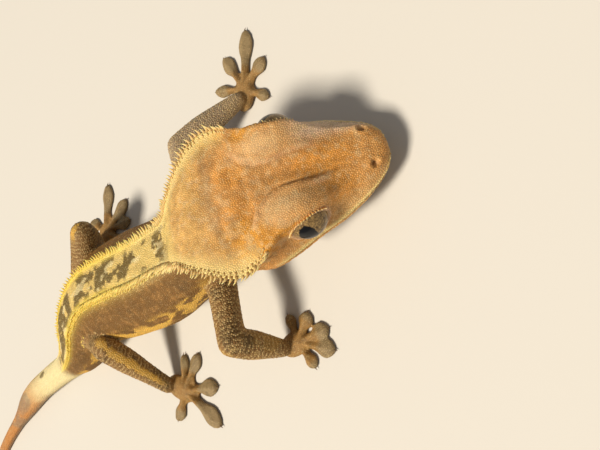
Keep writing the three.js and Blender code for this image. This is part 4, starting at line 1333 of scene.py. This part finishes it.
# %% What each scale takes from the skin
face_first = np.array([skin_mesh.polygons[k].vertices[0] for k in root_face])
loop_start = np.empty(len(skin_mesh.polygons), np.int32)
skin_mesh.polygons.foreach_get("loop_start", loop_start)
loop_total = np.empty(len(skin_mesh.polygons), np.int32)
skin_mesh.polygons.foreach_get("loop_total", loop_total)
loop_vertex = np.empty(len(skin_mesh.loops), np.int32)
skin_mesh.loops.foreach_get("vertex_index", loop_vertex)


def from_skin(face, roots, values):
    """Value of a skin point field at each root, weighted by nearness to the face's corners."""
    total = 0
    weights = 0
    for k in range(4):
        corner = loop_vertex[loop_start[face] + np.minimum(k, loop_total[face] - 1)]
        distance = np.linalg.norm(points[corner] - roots, axis=1)
        share = 1 / (distance + 0.02) ** 2
        total = total + values[corner] * (share[:, None] if values.ndim > 1 else share)
        weights = weights + share
    return total / (weights[:, None] if values.ndim > 1 else weights)


root_normal = from_skin(root_face, roots, vertex_normals)
root_normal /= np.linalg.norm(root_normal, axis=1, keepdims=True)
root_part = skin_part[face_first]
root_rest = skin_rest[face_first]
root_share = from_skin(root_face, roots, skin_share)
root_rest = np.where((root_part == 0)[:, None], from_skin(root_face, roots, skin_rest), root_rest)
root_colour = marking_and_painted_light(root_part, root_rest, root_share, roots)
print("mean scale colour", np.round(root_colour.mean(0), 3))

# %% [markdown]
# ## Where a scale is painted
# When the model leaves Blender its colours are baked to pictures. Each scale needs a small patch of
# its own in such a picture, close to its neighbours', so the roots are laid out as the skin itself
# unrolls: the body in one strip along the spine and each limb in a strip along its axis.

# %% Unrolled place of a root
PATCH = 0.003


def unrolled(part, rest, share):
    out = np.zeros((len(part), 2))
    on_body = part == 0
    out[on_body, 0] = 0.01 + 0.62 * (HEAD_LENGTH - rest[on_body, 0]) / (HEAD_LENGTH + TAIL_END)
    out[on_body, 1] = 0.5 + 0.48 * share[on_body] * np.sign(rest[on_body, 1] + 1e-9)
    angle = np.arctan2(rest[:, 1], rest[:, 2]) / np.pi
    strip = ~on_body
    out[strip, 0] = 0.66 + 0.32 * np.clip(rest[strip, 0] / 46, 0, 1)
    out[strip, 1] = (part[strip] - 1) * 0.25 + 0.125 + 0.11 * angle[strip]
    return out


def joined_copies(
    name, shape, roots, across, normals, size, height, bend, colours, base_colours, uv, finish
):
    """Copies of a small shape, given by its points and faces, joined to one mesh.

    A shape's point has x and y in units of size, z in units of height; across is its x axis.
    """
    shape_points, shape_faces = shape
    count, each = len(roots), len(shape_points)
    beside = np.cross(normals, across)
    x, y, z = shape_points[:, 0], shape_points[:, 1], shape_points[:, 2]
    reach = x[None, :] * size[:, None] + bend[:, None] * np.maximum(z, 0)[None, :] ** 2
    place = (
        roots[:, None, :]
        + across[:, None, :] * reach[..., None]
        + beside[:, None, :] * (y[None, :] * size[:, None])[..., None]
        + normals[:, None, :] * (z[None, :] * height[:, None])[..., None]
    ).reshape(-1, 3)
    place[:, 2] = np.maximum(place[:, 2], 0.01)
    sizes = np.array([len(face) for face in shape_faces])
    corners = np.concatenate([np.array(face) for face in shape_faces])
    loops = (corners[None, :] + each * np.arange(count)[:, None]).ravel()
    first = np.r_[0, np.cumsum(sizes)[:-1]]
    starts = (first[None, :] + len(corners) * np.arange(count)[:, None]).ravel()
    mesh = bpy.data.meshes.new(name)
    mesh.vertices.add(count * each)
    write_points(mesh, place)
    mesh.loops.add(len(loops))
    mesh.loops.foreach_set("vertex_index", loops.astype(np.int32))
    mesh.polygons.add(len(starts))
    mesh.polygons.foreach_set("loop_start", starts.astype(np.int32))
    mesh.update(calc_edges=True)
    mesh.polygons.foreach_set("use_smooth", np.ones(len(starts), bool))
    rise = np.clip(z, 0, 1)[None, :, None]
    colour = base_colours[:, None, :] + (colours - base_colours)[:, None, :] * rise
    add_attribute(mesh, "marking_and_painted_light", "FLOAT_COLOR", with_alpha(colour.reshape(-1, 3)))
    layer = mesh.uv_layers.new(name="OFBake")
    patch = uv[:, None, :] + 0.45 * PATCH * shape_points[None, corners, :2]
    layer.data.foreach_set("uv", patch.astype(np.float32).ravel())
    piece = new_object(name, mesh)
    mesh.materials.append(finish)
    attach(piece, "root")
    print(name, count, "copies, triangles", count * int((sizes - 2).sum()))


def shape_of(tool):
    """Points and faces of a small model in a bmesh."""
    tool.verts.ensure_lookup_table()
    points = np.array([vert.co[:] for vert in tool.verts])
    faces = [[vert.index for vert in face.verts] for face in tool.faces]
    tool.free()
    return points, faces


print("a patch is", PATCH, "of the picture wide")

# %% [markdown]
# ## Finishes
# Lizard skin is dull keratin over soft flesh: rough, with a weak broad shine and a little light
# passing under it. Spines and claws are clearer horn. The eye is a wet ball, so its colour lies
# under a hard clear coat.

# %% Materials
def add_node(tree, kind, inputs=None, links=None, **settings):
    """A node with its settings, its inputs' values and links from other nodes' outputs."""
    node = tree.nodes.new(kind)
    for key, value in settings.items():
        setattr(node, key, value)
    for key, value in (inputs or {}).items():
        node.inputs[key].default_value = value
    for key, source in (links or {}).items():
        tree.links.new(source, node.inputs[key])
    return node


def keratin(name, roughness, flesh, grain_mm, relief_mm):
    """Lizard keratin coloured by the piece's markings with their painted light and shade, mottled at a
    grain in mm.
    """
    material = bpy.data.materials.new(name)
    material.use_nodes = True
    tree = material.node_tree
    shader = tree.nodes["Principled BSDF"]
    shader.inputs["Roughness"].default_value = roughness
    shader.inputs["IOR"].default_value = 1.45
    shader.inputs["Specular IOR Level"].default_value = 0.25
    shader.inputs["Subsurface Weight"].default_value = flesh
    shader.inputs["Subsurface Radius"].default_value = (1.0, 0.45, 0.2)
    shader.inputs["Subsurface Scale"].default_value = 0.6 * MM
    colour = add_node(tree, "ShaderNodeAttribute", attribute_name="marking_and_painted_light")
    place = add_node(tree, "ShaderNodeTexCoord")
    mottle = add_node(
        tree, "ShaderNodeTexNoise", {"Scale": 1 / (grain_mm * MM), "Detail": 2.0},
        {"Vector": place.outputs["Object"]},
    )
    level = add_node(
        tree, "ShaderNodeMapRange", {"From Min": 0.3, "From Max": 0.7, "To Min": 0.82, "To Max": 1.12},
        {"Value": mottle.outputs["Fac"]},
    )
    shade = add_node(
        tree, "ShaderNodeVectorMath", None,
        {0: colour.outputs["Color"], 1: level.outputs["Result"]}, operation="MULTIPLY",
    )
    tree.links.new(shade.outputs["Vector"], shader.inputs["Base Color"])
    relief = add_node(
        tree, "ShaderNodeBump", {"Strength": 0.6, "Distance": relief_mm * MM},
        {"Height": mottle.outputs["Fac"]},
    )
    tree.links.new(relief.outputs["Normal"], shader.inputs["Normal"])
    return material


# soft skin in the grooves: dull, and its colour is painted darker as painted shade between the scales,
# so the eye reads a gap between them
SKIN_FINISH = keratin("soft_gecko_skin", 0.62, 0.15, 0.22, 0.05)
# granules: each dome catches a weak broad light, which makes the coat look beaded and dry
SCALE_FINISH = keratin("granular_scales", 0.5, 0.1, 0.16, 0.02)
# spines, lashes and claws: smoother and clearer horn, which glows a little at its tips
SPINE_FINISH = keratin("clear_horn_spines", 0.42, 0.25, 0.3, 0.01)
skin_mesh.materials.clear()
skin_mesh.materials.append(SKIN_FINISH)
print("keratin finishes:", SKIN_FINISH.name, SCALE_FINISH.name, SPINE_FINISH.name)

# %% [markdown]
# ## The coat of granules
# The small dome has six sides, an open base sunk in the skin and a raised middle. Its size, height
# and turn vary a little, and a few on the flesh of the limbs are larger tubercles. Its base is painted
# darker than its top, a painted shade in the grooves between scales, so they stay visible in flat
# light.

# %% The coat of granules
tool = bmesh.new()
bmesh.ops.create_cone(tool, cap_ends=True, segments=6, radius1=1.0, radius2=0.68, depth=1.0)
base = [face for face in tool.faces if len(face.verts) == 6 and face.normal.z < 0]
bmesh.ops.delete(tool, geom=base, context="FACES_ONLY")
top = [face for face in tool.faces if len(face.verts) == 6]
bmesh.ops.poke(tool, faces=top)
for vert in tool.verts:
    vert.co.z = -0.4 if vert.co.z < 0 else 0.72
    if vert.co.xy.length < 0.01:
        vert.co.z = 1.0
granule = shape_of(tool)
print("faces of a granule", len(granule[1]))


def tangent_of(normals, turn):
    """A direction along the skin, turned about the normal."""
    across = np.cross(normals, (0.3, 0.9, 0.31))
    across /= np.linalg.norm(across, axis=1, keepdims=True)
    beside = np.cross(normals, across)
    return across * np.cos(turn)[:, None] + beside * np.sin(turn)[:, None]


root_turn = random.random(len(roots)) * 2 * np.pi
root_across = tangent_of(root_normal, root_turn)
luck = random.random(len(roots))
on_limb = root_part > 0
u_root = -root_rest[:, 0]
TUBERCLE_GAP, TUBERCLE_PALE = 1.0, 0.55
GROOVE_SHADE, GRANULE_SPREAD, GRANULE_RISE = 0.8, 0.6, 0.2
limb_flesh = np.where(on_limb & (roots[:, 2] > 3.6) & (root_rest[:, 0] > 3))[0]
limb_flesh = random.permutation(limb_flesh)
tubercles = limb_flesh[keep_apart(roots[limb_flesh], np.full(len(limb_flesh), TUBERCLE_GAP))]
is_tubercle = np.zeros(len(roots), bool)
is_tubercle[tubercles] = True

lift = np.where(luck > 0.8, 0.3, 0.0) + 0.10 * (random.random(len(roots)) - 0.5)
on_head = (~on_limb) & (u_root < 3) & (root_share < 0.5)
lift = lift * np.where(on_head, 0.75, np.where(on_limb | (root_share < 0.3), 0.7, 0.3))
pale = blend(root_colour, STREAK_CREAM, lift)
scale_colour = pale * (1 + 0.16 * (random.random(len(roots)) - 0.5))[:, None]
paler = (1 - TUBERCLE_PALE) * root_colour[is_tubercle] + TUBERCLE_PALE * LIMB_PALE
scale_colour[is_tubercle] = paler
# painted shade at the foot of each granule
groove_shade_colour = GROOVE_SHADE * root_colour
size = GRANULE_SPREAD * root_width * (0.92 + 0.16 * random.random(len(roots)))
height = GRANULE_RISE * root_width * (0.8 + 0.4 * random.random(len(roots)))
height = np.where(root_share > 0.6, 0.6 * height, height)
height = np.where(on_limb & (roots[:, 2] < 2.6), 0.6 * height, height)
size[is_tubercle] *= 1.15
height[is_tubercle] *= 1.9
flat_uv = unrolled(root_part, root_rest, root_share)

ZONES = {
    "scales_snout": ((~on_limb) & (u_root < -13), "head_skin"),
    "scales_head": ((~on_limb) & (u_root >= -13) & (u_root < 0), "head_skin"),
    "scales_neck": ((~on_limb) & (u_root >= 0) & (u_root < 22), "body_skin"),
    "scales_trunk": ((~on_limb) & (u_root >= 22) & (u_root < 48), "body_skin"),
    "scales_hips": ((~on_limb) & (u_root >= 48) & (u_root < 79), "body_skin"),
    "scales_tail": ((~on_limb) & (u_root >= 79), "tail_skin"),
}
for number, name in enumerate(LIMBS):
    ZONES["scales_" + name] = (root_part == number + 1, "limb_skin")
for name, (mine, slot) in ZONES.items():
    joined_copies(
        name, granule, roots[mine], root_across[mine], root_normal[mine], size[mine], height[mine],
        np.zeros(mine.sum()), scale_colour[mine], groove_shade_colour[mine], flat_uv[mine],
        SCALE_FINISH,
    )

# %% [markdown]
# ## The crest
# Two fringes of small soft spines run from over the eyes, round the broad back corners of the head
# and along the back to the hips. Each spine is a slim cone bent a little backward. They are
# longest at the corners of the head and shrink to plain scales at the hips.

# %% Spines
def thorn(sides, tip, cuts):
    """A cone from height 0 to 1 with a blunt tip, cut into rings so that it can bend."""
    tool = bmesh.new()
    bmesh.ops.create_cone(tool, cap_ends=True, segments=sides, radius1=1.0, radius2=tip, depth=1.0)
    upright = [edge for edge in tool.edges if abs(edge.verts[0].co.z - edge.verts[1].co.z) > 0.5]
    bmesh.ops.subdivide_edges(tool, edges=upright, cuts=cuts)
    for vert in tool.verts:
        vert.co.z += 0.5
    return tool


CREST_START, CREST_END = -9.6, 76
SHORTEST = 0.18
tool = thorn(7, 0.1, 2)
for vert in tool.verts:
    vert.co.xy *= 1 - 0.35 * vert.co.z * (1 - vert.co.z)
    if vert.co.z < 0.01:
        vert.co.z = -0.18
spine_shape = shape_of(tool)

spine_rows = []
for side in (-1, 1):
    for offset, scale, step in ((0.0, 1.0, 0.9), (-0.022, 0.5, 1.0), (0.024, 0.55, 1.0)):
        u = CREST_START
        while u < CREST_END:
            spine_rows.append((u, side, offset, scale))
            here = float(u)
            stretch = 1.0 + 1.2 * abs(float(CREST_Y(here + 0.5) - CREST_Y(here - 0.5)))
            u += step / stretch * (0.85 + 0.3 * random.random())
spine_rows = np.array(spine_rows)
u_spine, side_spine, offset_spine, scale_spine = spine_rows.T
outline = np.stack([
    section_outline(np.array([u]), np.array([CREST_SHARE + offset]))[0, 0]
    for u, offset in zip(u_spine, offset_spine)
])
mid, ahead, leftward, upward = section_frame(u_spine)
spine_root = mid + leftward * (outline[:, 0] * side_spine)[:, None] + upward * outline[:, 1:2]
spine_root = on_skin(spine_root)
lean_out = leftward * (0.85 * side_spine)[:, None] + upward * 0.5
lean_out = lean_out + upward * (-4.0 * offset_spine)[:, None] - ahead * 0.22
lean_out = lean_out + 0.16 * random.normal(size=lean_out.shape)
lean_out /= np.linalg.norm(lean_out, axis=1, keepdims=True)
along_back = -ahead - lean_out * (-ahead * lean_out).sum(1, keepdims=True)
along_back /= np.linalg.norm(along_back, axis=1, keepdims=True)
full = CREST_HEIGHT(u_spine)
spine_length_mm = (0.42 + 0.8 * full) * (1 - 0.28 * ease(8, 0, u_spine)) * scale_spine
spine_length_mm = spine_length_mm * (0.7 + 0.6 * random.random(len(full)))
spine_length_mm = SHORTEST + (spine_length_mm - SHORTEST) * ease(77, 64, u_spine)
spine_width = 0.14 + 0.17 * spine_length_mm
spine_rest = np.stack([-u_spine, outline[:, 0] * side_spine, outline[:, 1]], -1)
yellow = 0.25 + 0.6 * ease(5, 40, u_spine)
spine_colour = blend(plain(STREAK_CREAM, len(full)), CREST_YELLOW, yellow)
# the roots take the head's tan near the head, and are painted 0.8 as dark as painted shade where the
# spines meet the skin
spine_base = blend(spine_colour, HEAD_TAN, 0.55 * ease(25, 5, u_spine)) * 0.8
spine_uv = unrolled(np.zeros(len(full), int), spine_rest, CREST_SHARE + offset_spine)
joined_copies(
    "crest_spines", spine_shape, spine_root, along_back, lean_out, spine_width, spine_length_mm,
    0.28 * spine_length_mm, spine_colour, spine_base, spine_uv, SPINE_FINISH,
)

# %% [markdown]
# ## The lashes
# The name of the animal comes from the fringe of little pointed scales on the brow's rim, which
# stand over the eye like lashes. They follow the upper edge of the opening from front to back.

# %% Lashes
lash_root, lash_axis, lash_across, lash_length = [], [], [], []
for side in (-1, 1):
    gaze, ahead_axis, up_axis = eye_axes(side)
    for turn in np.radians(np.arange(22, 168, 8.5)):
        a, b = np.cos(turn), np.sin(turn)
        wide = OPEN_FRONT if a > 0 else OPEN_BACK
        edge = 1 / np.hypot(a / wide, b / OPEN_UP[side]) + 6.5
        outward = ahead_axis * a + up_axis * b
        direction = gaze * np.cos(np.radians(edge)) + outward * np.sin(np.radians(edge))
        lash_root.append(from_head(EYE_PLACES[side] + direction * (EYE_RADIUS + 0.3)))
        axis = 0.8 * direction + 0.45 * gaze + 0.08 * random.normal(size=3) - 0.15 * ahead_axis
        lash_axis.append(from_head(axis) - from_head(np.zeros(3)))
        lash_across.append(from_head(-ahead_axis) - from_head(np.zeros(3)))
        lash_length.append((0.5 + 0.3 * b) * (0.8 + 0.4 * random.random()))
lash_root = on_skin(lash_root)
lash_axis = np.array(lash_axis) / np.linalg.norm(lash_axis, axis=1, keepdims=True)
lash_across = np.array(lash_across)
lash_across -= lash_axis * (lash_across * lash_axis).sum(1, keepdims=True)
lash_across /= np.linalg.norm(lash_across, axis=1, keepdims=True)
lash_length = np.array(lash_length)
count = len(lash_root)
lash_uv = np.stack([0.66 + 0.004 * np.arange(count), np.full(count, 0.995)], -1)
joined_copies(
    "lash_scales", spine_shape, lash_root, lash_across, lash_axis, 0.16 + 0.16 * lash_length,
    lash_length, 0.15 * lash_length, plain(STREAK_CREAM, count), plain(HEAD_GOLD, count), lash_uv,
    SPINE_FINISH,
)

# %% [markdown]
# ## The eyes
# A crested gecko's eye is nearly a ball, grey-brown with fine dark veins, and has an upright slit
# for a pupil that opens to a lens in the shade. It is one smooth ball under a clear coat. The
# pattern reads the ball's own axes, kept as an attribute, so it needs no picture.

# %% Eyeballs
def eye_finish():
    """Wet eye: a veined grey-brown iris, a dark upright pupil, a hard clear coat."""
    material = bpy.data.materials.new("wet_eye")
    material.use_nodes = True
    tree = material.node_tree
    shader = tree.nodes["Principled BSDF"]
    shader.inputs["Roughness"].default_value = 0.3
    shader.inputs["Specular IOR Level"].default_value = 0.15
    shader.inputs["Coat Weight"].default_value = 0.35
    shader.inputs["Coat Roughness"].default_value = 0.03
    shader.inputs["Coat IOR"].default_value = 1.38
    axes = add_node(tree, "ShaderNodeAttribute", attribute_name="iris")
    stretched = add_node(
        tree, "ShaderNodeVectorMath", {1: (1 / PUPIL_WIDE, 1 / PUPIL_HIGH, 0)},
        {0: axes.outputs["Vector"]}, operation="MULTIPLY",
    )
    crimp = add_node(
        tree, "ShaderNodeTexNoise", {"Scale": 6.0, "Detail": 1.0}, {"Vector": axes.outputs["Vector"]}
    )
    reach = add_node(
        tree, "ShaderNodeVectorMath", None, {0: stretched.outputs["Vector"]}, operation="LENGTH"
    )
    edge = add_node(
        tree, "ShaderNodeMath", {1: 0.24}, {0: crimp.outputs["Fac"]}, operation="MULTIPLY"
    )
    ragged = add_node(
        tree, "ShaderNodeMath", None,
        {0: reach.outputs["Value"], 1: edge.outputs["Value"]}, operation="ADD",
    )
    veins = add_node(
        tree, "ShaderNodeTexNoise", {"Scale": 11.0, "Detail": 5.0, "Distortion": 0.8},
        {"Vector": axes.outputs["Vector"]},
    )
    iris = add_node(tree, "ShaderNodeValToRGB", None, {"Fac": veins.outputs["Fac"]})
    for stop, (place, code) in zip(range(3), ((0.34, "4C3A22"), (0.5, "7C6440"), (0.72, "A88A54"))):
        element = iris.color_ramp.elements[stop] if stop < 2 else iris.color_ramp.elements.new(place)
        element.position = place
        element.color = (*linear(code), 1)
    mask = add_node(
        tree, "ShaderNodeMapRange", {"From Min": 1.06, "From Max": 1.16},
        {"Value": ragged.outputs["Value"]},
    )
    colour = add_node(
        tree, "ShaderNodeMix", {"A": (0.004, 0.004, 0.005, 1)}, None, data_type="RGBA"
    )
    tree.links.new(mask.outputs["Result"], colour.inputs["Factor"])
    tree.links.new(iris.outputs["Color"], colour.inputs[7])
    tree.links.new(colour.outputs[2], shader.inputs["Base Color"])
    return material


PUPIL_WIDE, PUPIL_HIGH = 0.42, 0.6
EYE_GAP = 0.04
PUPIL_GAZE = np.array([-0.12, 0.93, 0.3])
EYE_FINISH = eye_finish()
for name, side in (("eye_right", -1), ("eye_left", 1)):
    gaze, ahead_axis, up_axis = eye_axes(side, PUPIL_GAZE)
    tool = bmesh.new()
    bmesh.ops.create_uvsphere(tool, u_segments=64, v_segments=48, radius=1)
    mesh = bpy.data.meshes.new("finished_" + name)
    tool.to_mesh(mesh)
    tool.free()
    local = read_points(mesh)
    head_points = local[:, 0:1] * ahead_axis + local[:, 1:2] * up_axis + local[:, 2:3] * gaze
    write_points(mesh, from_head(EYE_PLACES[side] + (EYE_RADIUS - EYE_GAP) * head_points))
    add_attribute(mesh, "iris", "FLOAT_VECTOR", local)
    tool = bmesh.new()
    tool.from_mesh(mesh)
    bmesh.ops.recalc_face_normals(tool, faces=tool.faces[:])
    tool.to_mesh(mesh)
    tool.free()
    for polygon in mesh.polygons:
        polygon.use_smooth = True
    mesh.materials.append(EYE_FINISH)
    eye = new_object("finished_" + name, mesh)
    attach(eye, "root")
    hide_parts(name)
    print(name, "points", len(local))

# %% [markdown]
# ## The claws
# Each toe ends in a small hooked claw of brown horn that stands out beyond the pad.

# %% Claws
CLAW_LENGTH = 1.0
CLAW_HORN, CLAW_TIP = linear("7A6244"), linear("40301F")
claw_root, claw_axis = [], []
for plan in LIMBS.values():
    palm = place_of(plan["palm"])
    for tip in plan["tips"]:
        tip = place_of(tip)
        ahead = (tip - palm) / np.linalg.norm(tip - palm)
        claw_root.append([*(tip - 0.75 * ahead), 0.72])
        claw_axis.append([*ahead, 0.12])
claw_root, claw_axis = np.array(claw_root), np.array(claw_axis)
claw_axis /= np.linalg.norm(claw_axis, axis=1, keepdims=True)
down = np.array([0, 0, -1.0]) - claw_axis * (claw_axis @ np.array([0, 0, -1.0]))[:, None]
down /= np.linalg.norm(down, axis=1, keepdims=True)
count = len(claw_root)
ones = np.ones(count)
claw_uv = unrolled(np.repeat(np.arange(1, 5), 5), np.tile([44.0, 0, 1], (count, 1)), 0 * ones)
joined_copies(
    "claws", shape_of(thorn(10, 0.14, 4)), claw_root, down, claw_axis, 0.22 * ones,
    CLAW_LENGTH * ones, 0.38 * ones, plain(CLAW_TIP, count), plain(CLAW_HORN, count), claw_uv,
    SPINE_FINISH,
)

# %% [markdown]
# ## The camera
# The camera was found by laying the eyes, nostrils, crest corners, joints and toes over the photo.
# It looks down on the head from ahead and from the right, with the head low in the picture.

# %% Camera
CAMERA_PLACE = Vector((128.15, -46.92, 89.89)) * MM
CAMERA_RIGHT = Vector((0.6796, -0.3614, -0.6384))
CAMERA_UP = Vector((0.4901, 0.8712, 0.0286))
camera_data = bpy.data.cameras.new("camera")
camera_data.lens = 36
camera_data.sensor_width = 36
camera_data.clip_start = 0.005
camera = bpy.data.objects.new("camera", camera_data)
bpy.context.scene.collection.objects.link(camera)
back = CAMERA_RIGHT.cross(CAMERA_UP).normalized()
turn = Matrix((CAMERA_RIGHT, CAMERA_UP, back)).transposed()
camera.matrix_world = Matrix.Translation(CAMERA_PLACE) @ turn.to_4x4()
bpy.context.scene.camera = camera
print("camera at", [round(v, 3) for v in CAMERA_PLACE])

# %% [markdown]
# ## The floor and the light
# A wide pale floor takes the soft shadow that shows the feet stand on it. One large warm lamp far
# off to the right and above gives soft shadows with an even floor, and a weak cool room fills them.
# The standard view transform keeps the strong yellows of the crest, which the default one dulls.

# %% Floor and light
FLOOR_SIZE = 3
KEY_PLACE, KEY_AIM = (-0.99, -1.24, 3.25), (0.03, -0.01, 0.01)
KEY_SIZE, KEY_POWER, KEY_COLOUR = 0.78, 185.0, (1.0, 0.92, 0.80)
ROOM_COLOUR, ROOM_STRENGTH = (0.97, 0.97, 1.0, 1), 0.26
tool = bmesh.new()
bmesh.ops.create_grid(tool, x_segments=1, y_segments=1, size=FLOOR_SIZE)
floor_mesh = bpy.data.meshes.new("floor")
tool.to_mesh(floor_mesh)
tool.free()
floor = new_object("floor", floor_mesh)
# matt card: no shine, so nothing but the shadow shows on it
floor_finish = bpy.data.materials.new("pale_floor")
floor_finish.use_nodes = True
floor_shader = floor_finish.node_tree.nodes["Principled BSDF"]
floor_shader.inputs["Base Color"].default_value = (*linear("CCC7BD"), 1)
floor_shader.inputs["Roughness"].default_value = 0.85
floor.data.materials.append(floor_finish)

world = bpy.data.worlds.new("soft_room")
world.use_nodes = True
room = world.node_tree.nodes["Background"]
room.inputs["Color"].default_value = ROOM_COLOUR
room.inputs["Strength"].default_value = ROOM_STRENGTH
bpy.context.scene.world = world
bpy.context.scene.view_settings.view_transform = "Standard"

lamp_data = bpy.data.lights.new("key", "AREA")
lamp_data.energy, lamp_data.size, lamp_data.color = KEY_POWER, KEY_SIZE, KEY_COLOUR
lamp = bpy.data.objects.new("key", lamp_data)
bpy.context.scene.collection.objects.link(lamp)
lamp.location = Vector(KEY_PLACE)
to_gecko = Vector(KEY_AIM) - Vector(KEY_PLACE)
lamp.rotation_euler = to_gecko.to_track_quat("-Z", "Y").to_euler()
print("lamp", KEY_POWER, "W, room", ROOM_STRENGTH)
